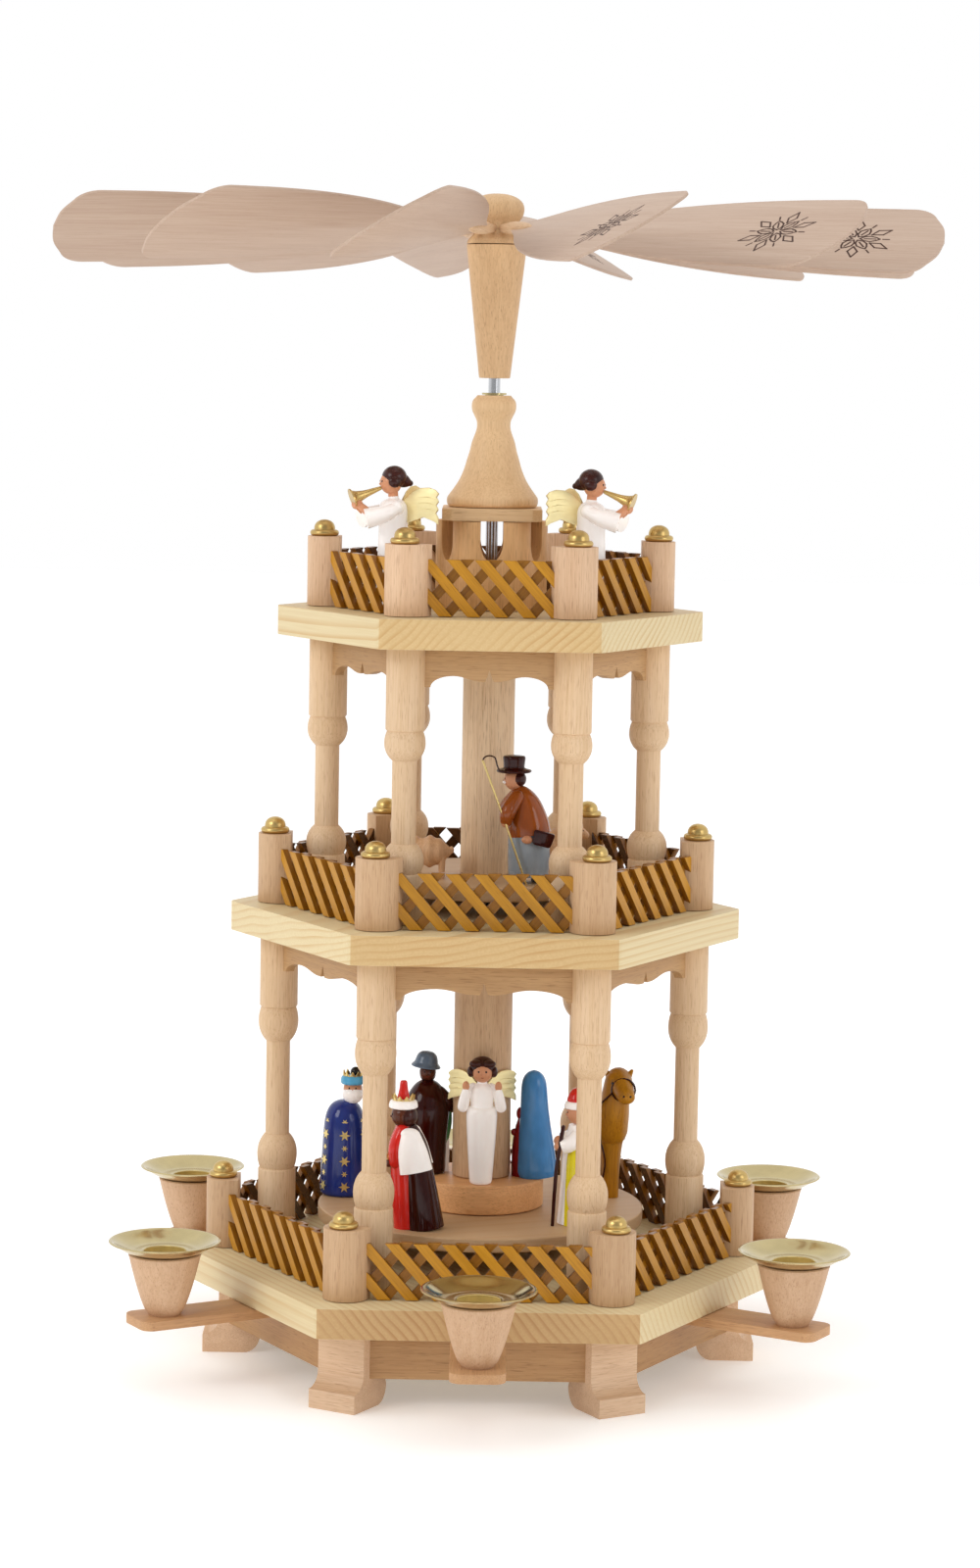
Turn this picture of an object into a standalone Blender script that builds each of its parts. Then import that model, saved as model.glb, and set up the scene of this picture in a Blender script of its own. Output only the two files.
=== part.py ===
"""Three-tier candle carousel: a wooden Christmas pyramid turned by the warm air of six candles.

Six candle cups stand on arms round a hexagonal base. Above it two more hexagonal boards stand on
turned columns, and a steel rod runs up the middle from a brass cup to a wheel of twelve wooden
blades. Turntables with figures ride on the rod. All lengths are metres, +Z is up, the object stands
on z = 0 and the viewer looks along +Y.
"""
import math

import bmesh
import bpy
from mathutils import Euler, Matrix, Vector

for leftover in list(bpy.data.objects):
    bpy.data.objects.remove(leftover, do_unlink=True)

MM = 0.001
SIDES = 6
STEP = 2 * math.pi / SIDES

# Clearances
FIT = 0.3 * MM
OVERRUN = 2.0 * MM
SINK = 0.8 * MM
WELD = 0.001 * MM

# Boards, from the floor up
FOOT_HEIGHT = 33.0 * MM
BOARD_THICKNESS = 12.5 * MM
BOARD_EDGE_CUT = 0.7 * MM
BASE_CORNER_RADIUS = 132.5 * MM
MIDDLE_CORNER_RADIUS = 110.4 * MM
TOP_CORNER_RADIUS = 91.8 * MM
LOWER_COLUMN_HEIGHT = 138.3 * MM
UPPER_COLUMN_HEIGHT = 115.5 * MM
BOARD_HOLE_DIAMETER = 15.0 * MM

# Columns
LOWER_COLUMN_CIRCLE = 88.6 * MM
UPPER_COLUMN_CIRCLE = 69.0 * MM
COLUMN_THICK_DIAMETER = 16.3 * MM
COLUMN_THIN_DIAMETER = 10.3 * MM
COLUMN_BALL_DIAMETER = 17.2 * MM
COLUMN_GROOVE_DIAMETER = 15.0 * MM
COLUMN_BALL_HEIGHT = 12.4 * MM
LOWER_COLUMN_TOP_LENGTH = 33.9 * MM
LOWER_COLUMN_FOOT_LENGTH = 36.8 * MM
UPPER_COLUMN_TOP_LENGTH = 34.7 * MM
UPPER_COLUMN_FOOT_LENGTH = 20.8 * MM
COLUMN_FACETS = 8

# Arch boards between the column tops
ARCH_THICKNESS = 4.0 * MM
ARCH_END_DEPTH = 17.0 * MM
ARCH_PEAK_DEPTH = 7.0 * MM
ARCH_LOBE_DEPTH = 11.5 * MM
ARCH_NOTCH_HEIGHT = 5.0 * MM
ARCH_NOTCH_WIDTH = 3.0 * MM

# Base frame: six bracket feet and the rails between them
FOOT_WIDTH = 22.2 * MM
FOOT_FACE_RADIUS = 112.5 * MM
FOOT_NECK_DEPTH = 13.0 * MM
FOOT_TOE_LENGTH = 7.0 * MM
FOOT_TOE_HEIGHT = 8.0 * MM
FOOT_CURVE_HEIGHT = 7.0 * MM
FOOT_HEEL_BULGE = 5.0 * MM
FOOT_SOLE_LENGTH = 18.0 * MM
RAIL_HEIGHT = 20.0 * MM
RAIL_THICKNESS = 8.0 * MM
RAIL_SETBACK = 4.7 * MM

# Candle arms, cups and drip pans
ARM_WIDTH = 22.5 * MM
ARM_THICKNESS = 4.2 * MM
ARM_INNER_RADIUS = 80.0 * MM
ARM_CORNER_RADIUS = 5.0 * MM
CUP_CIRCLE = 151.0 * MM
ARM_TIP_LENGTH = 14.0 * MM
CUP_HEIGHT = 26.1 * MM
CUP_TOP_DIAMETER = 30.4 * MM
CUP_FOOT_DIAMETER = 12.9 * MM
CUP_FACETS = 12
CANDLE_DIAMETER = 17.5 * MM
PAN_SHEET = 0.6 * MM
PAN_DIAMETER = 46.8 * MM
PAN_FLOOR_DIAMETER = 27.0 * MM
PAN_RISE = 4.9 * MM
SOCKET_DEPTH = 15.0 * MM

# Fences: six half-round posts with gilt caps and six milled lattices
BASE_FENCE_CIRCLE = 109.5 * MM
POST_DIAMETER = 19.0 * MM
POST_BACK_DEPTH = 4.8 * MM
POST_BACK_WIDTH = 17.8 * MM
POST_HEIGHT = 29.5 * MM
CAP_RING_DIAMETER = 12.3 * MM
CAP_DOME_DIAMETER = 9.0 * MM
CAP_RING_HEIGHT = 2.7 * MM
CAP_HEIGHT = 7.0 * MM
PANEL_HEIGHT = 23.5 * MM
SLAT_DEPTH = 2.0 * MM
SLAT_WIDTH = 4.9 * MM
SLAT_PITCH = 13.6 * MM
SLAT_ANGLE = math.radians(50)

# Turret on the top board
DRUM_CORNER_RADIUS = 25.2 * MM
DRUM_CORNER_ROUND = 9.0 * MM
DRUM_BORE_DIAMETER = 34.0 * MM
DRUM_HEIGHT = 38.0 * MM
WINDOW_WIDTH = 9.6 * MM
WINDOW_DEPTH = 17.0 * MM
WINDOW_POINT = 7.8 * MM
CORNICE_WIDTH = 42.4 * MM
CORNICE_DEPTH = 44.6 * MM
CORNICE_CORNER_CUT = 4.0 * MM
CORNICE_THICKNESS = 5.2 * MM
BELL_DIAMETER = 38.9 * MM
BELL_HEIGHT = 47.4 * MM
BELL_SHARES = (
    (0.74, 0.995), (0.94, 0.955), (0.98, 0.90), (0.84, 0.815), (0.745, 0.755), (0.745, 0.70),
)
BELL_SKIRT_SHARES = (
    (0.47, 0.60), (0.58, 0.44), (0.73, 0.28), (0.89, 0.14), (0.98, 0.06), (1.0, 0.02), (0.98, 0.0),
)
BELL_BULB_DIAMETER = 19.3 * MM
BUSH_DIAMETER = 8.0 * MM
BUSH_LENGTH = 12.0 * MM
BUSH_FLANGE_DIAMETER = 10.5 * MM
BUSH_FLANGE_HEIGHT = 0.8 * MM

# Rod, bearing cup and what rides on the rod
ROD_DIAMETER = 5.0 * MM
ROD_POINT_LENGTH = 3.0 * MM
ROD_FACETS = 12
BEARING_DIAMETER = 11.0 * MM
BEARING_HEIGHT = 6.0 * MM
BEARING_DIMPLE_DEPTH = 3.0 * MM
LOWER_TABLE_DIAMETER = 141.0 * MM
MIDDLE_TABLE_DIAMETER = 100.0 * MM
TABLE_THICKNESS = 6.0 * MM
TABLE_RISE = 14.0 * MM
MIDDLE_TABLE_RISE = 8.0 * MM
DAIS_DIAMETER = 54.5 * MM
DAIS_THICKNESS = 12.7 * MM
LOWER_SLEEVE_DIAMETER = 25.0 * MM
MIDDLE_SLEEVE_DIAMETER = 22.3 * MM
SLEEVE_HEAD_ROOM = 1.5 * MM

# Hub and blades
HUB_GAP = 7.3 * MM
HUB_HEIGHT = 56.5 * MM
HUB_FOOT_DIAMETER = 13.2 * MM
HUB_TOP_DIAMETER = 25.6 * MM
HUB_BORE_DEPTH = 46.0 * MM
CAP_WAIST_DIAMETER = 18.0 * MM
CAP_DOME_WIDTH = 22.9 * MM
HUB_CAP_HEIGHT = 21.2 * MM
BLADE_AXIS_RISE = 6.8 * MM
BLADE_COUNT = 12
BLADE_START = math.radians(-13.5)
BLADE_DROOP = math.radians(1.2)
BLADE_PITCH = math.radians(30)
BLADE_TIP_RADIUS = 190.5 * MM
BLADE_ROOT_RADIUS = 22.0 * MM
BLADE_ROOT_WIDTH = 24.0 * MM
BLADE_TIP_WIDTH = 54.0 * MM
BLADE_TIP_CROWN = 5.0 * MM
BLADE_CORNER_RADIUS = 10.0 * MM
BLADE_THICKNESS = 1.2 * MM
STEM_DIAMETER = 4.2 * MM
STEM_LENGTH = 33.0 * MM
STEM_END_DIAMETER = 3.0 * MM
TENON_DIAMETER = 2.6 * MM
TENON_LENGTH = 2.3 * MM

# Figures
FIGURE_FACETS = 8
KING_HEIGHT = 60.0 * MM
KING_WIDTH = 20.5 * MM
BLUE_KING_SHARES = (-0.85, 0.21)
RED_KING_SHARES = (-0.34, -0.71)
YELLOW_KING_SHARES = (0.54, -0.51)
CAMEL_SHARES = (0.81, 0.24)
CAMEL_HEIGHT = 55.0 * MM
JOSEPH_SHARES = (-0.87, 0.11)
JOSEPH_HEIGHT = 53.0 * MM
JOSEPH_WIDTH = 19.5 * MM
DAIS_ANGEL_SHARES = (0.0, -0.735)
DAIS_ANGEL_HEIGHT = 56.0 * MM
DAIS_ANGEL_WIDTH = 12.0 * MM
MARY_SHARES = (0.82, -0.07)
MARY_HEIGHT = 46.5 * MM
MARY_WIDTH = 18.5 * MM
CHILD_PLACE_SHARES = (0.33, 0.68)
CHILD_HEIGHT = 20.0 * MM
CHILD_WIDTH = 8.0 * MM
SHEPHERD_SHARES = (0.26, -0.60)
SHEPHERD_HEIGHT = 54.0 * MM
SHEPHERD_WIDTH = 19.0 * MM
SHEEP_PLACE_SHARES = ((-0.48, -0.40), (0.60, 0.24))
SHEEP_TURNS = (math.radians(175), math.radians(20))
SHEEP_HEIGHT = 20.0 * MM
TRUMPETER_CIRCLE = 48.0 * MM
TRUMPETER_ANGLES = (math.radians(210), math.radians(-30))
TRUMPETER_HEIGHT = 61.0 * MM
TRUMPETER_WIDTH = 15.0 * MM
TRUMPETER_TURN = math.radians(75)
TRUMPET_LENGTH = 15.0 * MM
TRUMPET_DIP = math.radians(24)
TRUMPET_BELL_DIAMETER = 8.2 * MM
STAFF_DIAMETER = 1.8 * MM
TRUMPET_PIPE_DIAMETER = 1.8 * MM
WING_THICKNESS = 1.2 * MM

# Heights worked out from the sizes above
BASE_TOP = FOOT_HEIGHT + BOARD_THICKNESS
MIDDLE_UNDER = BASE_TOP + LOWER_COLUMN_HEIGHT
MIDDLE_TOP = MIDDLE_UNDER + BOARD_THICKNESS
TOP_UNDER = MIDDLE_TOP + UPPER_COLUMN_HEIGHT
TOP_TOP = TOP_UNDER + BOARD_THICKNESS
CORNICE_UNDER = TOP_TOP + DRUM_HEIGHT
BELL_UNDER = CORNICE_UNDER + CORNICE_THICKNESS
BELL_TOP = BELL_UNDER + BELL_HEIGHT
HUB_UNDER = BELL_TOP + HUB_GAP
HUB_TOP = HUB_UNDER + HUB_HEIGHT
BLADE_AXIS = HUB_TOP + BLADE_AXIS_RISE
LOWER_TABLE_TOP = BASE_TOP + TABLE_RISE + TABLE_THICKNESS
MIDDLE_TABLE_TOP = MIDDLE_TOP + MIDDLE_TABLE_RISE + TABLE_THICKNESS
DAIS_TOP = LOWER_TABLE_TOP + DAIS_THICKNESS
ARM_UNDER = FOOT_HEIGHT - ARM_THICKNESS
ROD_BORE_RADIUS = ROD_DIAMETER / 2 + FIT

parts = bpy.data.collections.new("candle_carousel")
cutters = bpy.data.collections.new("cutters")
for group in (parts, cutters):
    bpy.context.scene.collection.children.link(group)


def material(name, colour, roughness, metallic=0.0):
    made = bpy.data.materials.new(name)
    made.use_nodes = True
    surface = made.node_tree.nodes["Principled BSDF"]
    surface.inputs["Base Color"].default_value = (*colour, 1.0)
    surface.inputs["Roughness"].default_value = roughness
    surface.inputs["Metallic"].default_value = metallic
    return made


PINE = material("pine_board", (0.80, 0.62, 0.40), 0.55)
BEECH = material("beech_turned", (0.72, 0.52, 0.36), 0.50)
WALNUT_TONE = material("bare_turned_wood", (0.55, 0.36, 0.22), 0.55)
LATTICE = material("stained_lattice", (0.42, 0.28, 0.05), 0.45)
BLADE_WOOD = material("blade_veneer", (0.74, 0.62, 0.48), 0.60)
BRASS = material("brass", (0.74, 0.62, 0.36), 0.25, 1.0)
STEEL = material("polished_steel", (0.55, 0.56, 0.58), 0.20, 1.0)
BLUE = material("blue_paint", (0.02, 0.05, 0.30), 0.20)
SKY = material("sky_blue_paint", (0.02, 0.18, 0.55), 0.20)
RED = material("red_paint", (0.60, 0.03, 0.02), 0.20)
YELLOW = material("yellow_paint", (0.85, 0.70, 0.05), 0.20)
BROWN = material("brown_paint", (0.09, 0.03, 0.02), 0.20)
RUST = material("rust_brown_paint", (0.25, 0.09, 0.03), 0.25)
WHITE = material("white_paint", (0.85, 0.84, 0.82), 0.25)
OCHRE = material("ochre_stain", (0.55, 0.33, 0.07), 0.45)


def place(mesh, name, where=parts):
    made = bpy.data.objects.new(name, mesh)
    where.objects.link(made)
    return made


def as_mesh(source):
    """Turn an object, with its modifiers and its place, into a plain mesh and drop the object."""
    bpy.context.view_layer.update()
    graph = bpy.context.evaluated_depsgraph_get()
    mesh = bpy.data.meshes.new_from_object(source.evaluated_get(graph))
    mesh.transform(source.matrix_world)
    bpy.data.objects.remove(source, do_unlink=True)
    return mesh


def gather(meshes_and_places):
    """One mesh that holds a copy of each mesh at its place."""
    shape = bmesh.new()
    for mesh, matrix in meshes_and_places:
        copy = mesh.copy()
        copy.transform(matrix)
        shape.from_mesh(copy)
    made = bpy.data.meshes.new("gathered")
    shape.to_mesh(made)
    shape.free()
    return made


def turn_z(angle):
    return Matrix.Rotation(angle, 4, "Z")


def shift(x, y, z):
    return Matrix.Translation(Vector((x, y, z)))


def turned(profile, facets):
    """Turn a profile round the Z axis; it runs up the bore, then down the outer side."""
    mesh = bpy.data.meshes.new("profile")
    points = [(radius, 0.0, height) for radius, height in profile]
    closed = profile[0][0] > 0
    edges = [(i, i + 1) for i in range(len(points) - 1)]
    if closed:
        edges.append((len(points) - 1, 0))
    mesh.from_pydata(points, edges, [])
    made = place(mesh, "turned", cutters)
    screw = made.modifiers.new("Screw", "SCREW")
    screw.axis = "Z"
    screw.angle = 2 * math.pi
    screw.steps = facets
    screw.render_steps = facets
    screw.use_merge_vertices = True
    screw.merge_threshold = WELD
    return as_mesh(made)


def flat(outlines, thickness):
    """Extrude flat outlines from z = 0 up; an outline inside another one is a hole."""
    curve = bpy.data.curves.new("outline", "CURVE")
    curve.dimensions = "2D"
    curve.fill_mode = "BOTH"
    curve.extrude = thickness / 2
    for outline in outlines:
        spline = curve.splines.new("POLY")
        spline.points.add(len(outline) - 1)
        for point, (x, y) in zip(spline.points, outline):
            point.co = (x, y, 0.0, 1.0)
        spline.use_cyclic_u = True
    made = place(curve, "flat", cutters)
    made.location.z = thickness / 2
    mesh = as_mesh(made)
    shape = bmesh.new()
    shape.from_mesh(mesh)
    bmesh.ops.remove_doubles(shape, verts=shape.verts, dist=WELD)
    bmesh.ops.recalc_face_normals(shape, faces=shape.faces)
    shape.to_mesh(mesh)
    shape.free()
    return mesh


def upright(mesh, thickness):
    """Stand a flat piece up: its outline's y becomes z, centred on y = 0."""
    mesh.transform(shift(0.0, thickness / 2, 0.0) @ Matrix.Rotation(math.pi / 2, 4, "X"))
    return mesh


def ball(radius, centre, stretch=(1.0, 1.0, 1.0)):
    shape = bmesh.new()
    bmesh.ops.create_uvsphere(shape, u_segments=FIGURE_FACETS, v_segments=5, radius=radius)
    mesh = bpy.data.meshes.new("ball")
    shape.to_mesh(mesh)
    shape.free()
    mesh.transform(shift(*centre) @ Matrix.Diagonal((*stretch, 1.0)))
    return mesh


def taper(start, end, start_radius, end_radius, facets=6):
    """A round bar between two points."""
    run = Vector(end) - Vector(start)
    shape = bmesh.new()
    bmesh.ops.create_cone(
        shape, cap_ends=True, segments=facets, radius1=start_radius, radius2=end_radius, depth=run.length)
    mesh = bpy.data.meshes.new("bar")
    shape.to_mesh(mesh)
    shape.free()
    middle = (Vector(start) + Vector(end)) / 2
    mesh.transform(shift(*middle) @ run.to_track_quat("Z", "Y").to_matrix().to_4x4())
    return mesh


def slab(size, centre):
    shape = bmesh.new()
    bmesh.ops.create_cube(shape, size=1.0)
    mesh = bpy.data.meshes.new("slab")
    shape.to_mesh(mesh)
    shape.free()
    mesh.transform(shift(*centre) @ Matrix.Diagonal((*size, 1.0)))
    return mesh


def combine(meshes, operation="UNION"):
    """Join meshes into one solid, or cut the later ones out of the first."""
    base = place(meshes[0], "base", cutters)
    tools = [place(mesh, "tool", cutters) for mesh in meshes[1:]]
    for tool in tools:
        boolean = base.modifiers.new("Boolean", "BOOLEAN")
        boolean.operation = operation
        boolean.solver = "EXACT"
        boolean.object = tool
    mesh = as_mesh(base)
    for tool in tools:
        bpy.data.objects.remove(tool, do_unlink=True)
    return mesh


def finish(name, mesh, look, location=(0.0, 0.0, 0.0), turn=0.0):
    made = place(mesh, name)
    made.location = location
    made.rotation_euler.z = turn
    mesh.materials.clear()
    mesh.materials.append(look)
    mesh.shade_smooth()
    mesh.set_sharp_from_angle(angle=math.radians(35))
    return made


def cut(target, cutter_mesh, name):
    """A live cut, whose cutter stays in the cutters' collection."""
    cutter = place(cutter_mesh, name, cutters)
    cutter.hide_render = True
    cutter.display_type = "WIRE"
    boolean = target.modifiers.new(name, "BOOLEAN")
    boolean.operation = "DIFFERENCE"
    boolean.solver = "EXACT"
    boolean.object = cutter


def circle(radius, count, centre=(0.0, 0.0)):
    return [
        (centre[0] + radius * math.cos(2 * math.pi * i / count),
         centre[1] + radius * math.sin(2 * math.pi * i / count))
        for i in range(count)
    ]


def arc(centre, radius, start, end, count):
    return [
        (centre[0] + radius * math.cos(start + (end - start) * i / count),
         centre[1] + radius * math.sin(start + (end - start) * i / count))
        for i in range(count + 1)
    ]


def hexagon(radius):
    return circle(radius, SIDES)


def board(name, corner_radius, underside, hole_diameter):
    """A hexagonal board with eased edges, and a hole for the rod where it has one."""
    outlines = [hexagon(corner_radius)]
    if hole_diameter:
        outlines.append(circle(hole_diameter / 2, 16))
    made = finish(name, flat(outlines, BOARD_THICKNESS), PINE, (0.0, 0.0, underside))
    bevel = made.modifiers.new("Eased edges", "BEVEL")
    bevel.width = BOARD_EDGE_CUT
    bevel.segments = 1
    bevel.limit_method = "ANGLE"
    bevel.angle_limit = math.radians(40)
    return made


def base_frame():
    """Six bracket feet joined by six rails, with a notch in each rail for a candle arm."""
    height = FOOT_HEIGHT - FIT
    toe = FOOT_FACE_RADIUS + FOOT_TOE_LENGTH
    back = FOOT_FACE_RADIUS - FOOT_NECK_DEPTH
    sole_end = toe - FOOT_SOLE_LENGTH
    curve_top = FOOT_TOE_HEIGHT + FOOT_CURVE_HEIGHT
    outline = [(back, height), (FOOT_FACE_RADIUS, height)]
    outline += [
        (toe - FOOT_TOE_LENGTH * math.cos(angle), curve_top - FOOT_CURVE_HEIGHT * math.sin(angle))
        for angle in (0.0, math.pi / 6, math.pi / 3, math.pi / 2)
    ]
    outline += [(toe, 0.0), (sole_end, 0.0)]
    heel = back - FOOT_HEEL_BULGE
    outline += [
        (sole_end - (sole_end - heel) * math.sin(angle), FOOT_TOE_HEIGHT * (1 - math.cos(angle)))
        for angle in (math.pi / 4, math.pi / 2)
    ]
    outline += [(heel + FOOT_HEEL_BULGE * 0.3, curve_top * 0.9), (back, curve_top * 1.2)]
    foot = upright(flat([outline], FOOT_WIDTH), FOOT_WIDTH)
    feet = gather([(foot, turn_z(STEP * i)) for i in range(SIDES)])
    apothem = (FOOT_FACE_RADIUS - RAIL_SETBACK) * math.cos(STEP / 2) + FOOT_WIDTH / 2 * math.sin(STEP / 2)
    length = 2 * (apothem * math.tan(STEP / 2) - RAIL_SETBACK)
    rail = slab(
        (RAIL_THICKNESS, length, RAIL_HEIGHT),
        (apothem - RAIL_THICKNESS / 2, 0.0, height - RAIL_HEIGHT / 2))
    rails = gather([(rail, turn_z(STEP * (i + 0.5))) for i in range(SIDES)])
    frame = finish("base_frame", combine([rails, feet]), BEECH)
    notch_height = ARM_THICKNESS + FIT
    notch = slab(
        (RAIL_THICKNESS + 2 * OVERRUN, ARM_WIDTH + 2 * FIT, notch_height),
        (apothem - RAIL_THICKNESS / 2, 0.0, FOOT_HEIGHT - notch_height / 2))
    notches = gather([(notch, turn_z(STEP * (i + 0.5))) for i in range(SIDES)])
    cut(frame, notches, "arm_notches")


def column_profile(height, top_length, foot_length):
    """Half outline of a turned column, from the top of its axis down to the foot."""
    thick = COLUMN_THICK_DIAMETER / 2
    thin = COLUMN_THIN_DIAMETER / 2
    groove = COLUMN_GROOVE_DIAMETER / 2
    upper_ball = height - top_length
    lower_ball = foot_length + COLUMN_BALL_HEIGHT
    points = [(0.0, height), (thick, height), (groove, upper_ball)]
    points += ball_points(groove, thin, upper_ball)
    points += [(thin, upper_ball - COLUMN_BALL_HEIGHT), (thin, lower_ball)]
    points += ball_points(thin, groove, lower_ball)
    points += [(groove, foot_length), (thick, 0.0), (0.0, 0.0)]
    return points


def ball_points(above, below, top):
    """Two points down the side of a turned ball between two necks, nearer to the wider neck."""
    middle = COLUMN_BALL_DIAMETER / 2
    if above > below:
        levels = (0.30, 0.62)
    else:
        levels = (0.38, 0.70)
    return [(middle, top - COLUMN_BALL_HEIGHT * level) for level in levels]


def arch_outline(span):
    """Arch board seen from outside: deep ends, two rising arcs, a centre lobe and an A-notch."""
    half = span / 2
    lobe = half / 4
    notch = ARCH_NOTCH_WIDTH / 2
    side = [(half, 0.0), (half, -ARCH_END_DEPTH)]
    run = half - lobe
    drop = ARCH_END_DEPTH - ARCH_PEAK_DEPTH
    side += [
        (half - run * 0.8 * math.sin(angle), -ARCH_END_DEPTH + drop * (1 - math.cos(angle)))
        for angle in (math.pi / 5, math.pi / 2)
    ]
    side += [(lobe / 2, -ARCH_LOBE_DEPTH), (notch, -ARCH_LOBE_DEPTH)]
    return side + [(0.0, -ARCH_LOBE_DEPTH + ARCH_NOTCH_HEIGHT)] + [(-x, y) for x, y in reversed(side)]


def colonnade(name, foot_height, height, circle_radius, top_length, foot_length):
    """Six turned columns tied by six arch boards under the board above."""
    length = height - 2 * FIT
    column = turned(column_profile(length, top_length, foot_length), COLUMN_FACETS)
    columns = gather([
        (column, turn_z(STEP * i) @ shift(circle_radius, 0.0, 0.0)) for i in range(SIDES)])
    span = circle_radius - 2 * ARCH_THICKNESS * 0.8
    arch = upright(flat([arch_outline(span)], ARCH_THICKNESS), ARCH_THICKNESS)
    apothem = circle_radius * math.cos(STEP / 2)
    arches = gather([
        (arch, turn_z(STEP * (i + 0.5) - math.pi / 2) @ shift(0.0, apothem, length - FIT))
        for i in range(SIDES)])
    finish(name, combine([columns, arches]), BEECH, (0.0, 0.0, foot_height + FIT))


def post_section():
    """Half-round front and a wedge behind it that the two lattices butt against."""
    radius = POST_DIAMETER / 2
    narrow = POST_BACK_WIDTH / 2
    return arc((0.0, 0.0), radius, -math.pi / 2, math.pi / 2, 5) + [
        (-POST_BACK_DEPTH, narrow), (-POST_BACK_DEPTH, -narrow)]


def capped_post():
    post = flat([post_section()], POST_HEIGHT)
    ring = CAP_RING_DIAMETER / 2
    dome = CAP_DOME_DIAMETER / 2
    rise = CAP_HEIGHT - CAP_RING_HEIGHT
    profile = [(0.0, CAP_HEIGHT), (dome * 0.8, CAP_HEIGHT - rise * 0.3)]
    profile += [(dome, CAP_RING_HEIGHT), (ring, CAP_RING_HEIGHT * 0.8), (ring, -SINK), (0.0, -SINK)]
    cap = turned(profile, 8)
    cap.transform(shift((POST_DIAMETER / 2 - POST_BACK_DEPTH) / 2, 0.0, POST_HEIGHT))
    return combine([post, cap])


def slat_layer(length, lean, lead):
    """Parallel slats of one layer, each cut square at the lattice's four edges."""
    run = PANEL_HEIGHT / math.tan(SLAT_ANGLE)
    width = SLAT_WIDTH / math.sin(SLAT_ANGLE)
    count = int(math.ceil((length + run) / SLAT_PITCH)) + 1
    outlines = []
    for i in range(-1, count):
        foot = lead + i * SLAT_PITCH - (run if lean > 0 else 0.0)
        corners = [(foot, 0.0), (foot + width, 0.0)]
        corners += [(foot + width + lean * run, PANEL_HEIGHT), (foot + lean * run, PANEL_HEIGHT)]
        outline = clipped(clipped(corners, 0.0, 1), length, -1)
        if len(outline) > 2 and max(x for x, _ in outline) - min(x for x, _ in outline) > width:
            outlines.append(outline)
    return flat(outlines, SLAT_DEPTH)


def clipped(corners, limit, side):
    """Keep the part of a flat outline that lies past x = limit, on the given side."""
    kept = []
    for i, (x, y) in enumerate(corners):
        next_x, next_y = corners[(i + 1) % len(corners)]
        if (x - limit) * side >= 0:
            kept.append((x, y))
        if (x - limit) * (next_x - limit) < 0:
            share = (limit - x) / (next_x - x)
            kept.append((limit, y + (next_y - y) * share))
    return kept


def lattice(length):
    """Two layers of slats milled from one board, front slats falling to the right."""
    run = PANEL_HEIGHT / math.tan(SLAT_ANGLE)
    front = slat_layer(length, -1.0, SLAT_PITCH / 2)
    back = slat_layer(length, 1.0, SLAT_PITCH / 2 + run)
    back.transform(shift(0.0, 0.0, -SLAT_DEPTH))
    panel = combine([front, back])
    panel.transform(shift(0.0, SLAT_DEPTH, 0.0) @ Matrix.Rotation(math.pi / 2, 4, "X"))
    return panel


def fence(name, circle_radius, floor):
    """Posts over the corners and lattices between them, one solid ring."""
    post = capped_post()
    posts = gather([
        (post, turn_z(STEP * i) @ shift(circle_radius, 0.0, 0.0)) for i in range(SIDES)])
    reach = POST_DIAMETER / 2 * math.cos(STEP / 2)
    length = circle_radius - 2 * reach + 2 * SINK
    panel = lattice(length)
    face = circle_radius * math.cos(STEP / 2) + POST_DIAMETER / 2 * math.sin(STEP / 2) - SINK
    panels = gather([
        (panel, turn_z(STEP * (i + 0.5) + math.pi / 2) @ shift(-length / 2, -face, 0.0))
        for i in range(SIDES)])
    finish(name, combine([posts, panels]), LATTICE, (0.0, 0.0, floor + FIT))


def candle_arm(index):
    """Flat arm under the base board with a turned cup near its end."""
    tip = CUP_CIRCLE + ARM_TIP_LENGTH
    half = ARM_WIDTH / 2
    inset = ARM_CORNER_RADIUS
    outline = [(ARM_INNER_RADIUS, -half)]
    outline += arc((tip - inset, -half + inset), inset, -math.pi / 2, 0.0, 2)
    outline += arc((tip - inset, half - inset), inset, 0.0, math.pi / 2, 2)
    outline.append((ARM_INNER_RADIUS, half))
    arm = flat([outline], ARM_THICKNESS - FIT)
    arm.transform(shift(0.0, 0.0, ARM_UNDER))
    foot = FOOT_HEIGHT - FIT
    top = foot + CUP_HEIGHT
    bore = CANDLE_DIAMETER / 2 + PAN_SHEET + FIT
    bottom = top - SOCKET_DEPTH - FIT
    outer = CUP_TOP_DIAMETER / 2
    inner = CUP_FOOT_DIAMETER / 2
    grow = outer - inner
    profile = [(0.0, bottom), (bore, bottom), (bore, top), (outer, top)]
    profile += [(inner + grow * share ** 0.85, foot + CUP_HEIGHT * share) for share in (0.7, 0.3)]
    profile += [(inner, foot), (inner, foot - SINK), (0.0, foot - SINK)]
    cup = turned(profile, CUP_FACETS)
    cup.transform(shift(CUP_CIRCLE, 0.0, 0.0))
    angle = STEP * (index + 0.5)
    finish("candle_arm_%d" % (index + 1), combine([arm, cup]), BEECH, turn=angle)
    return angle


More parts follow.
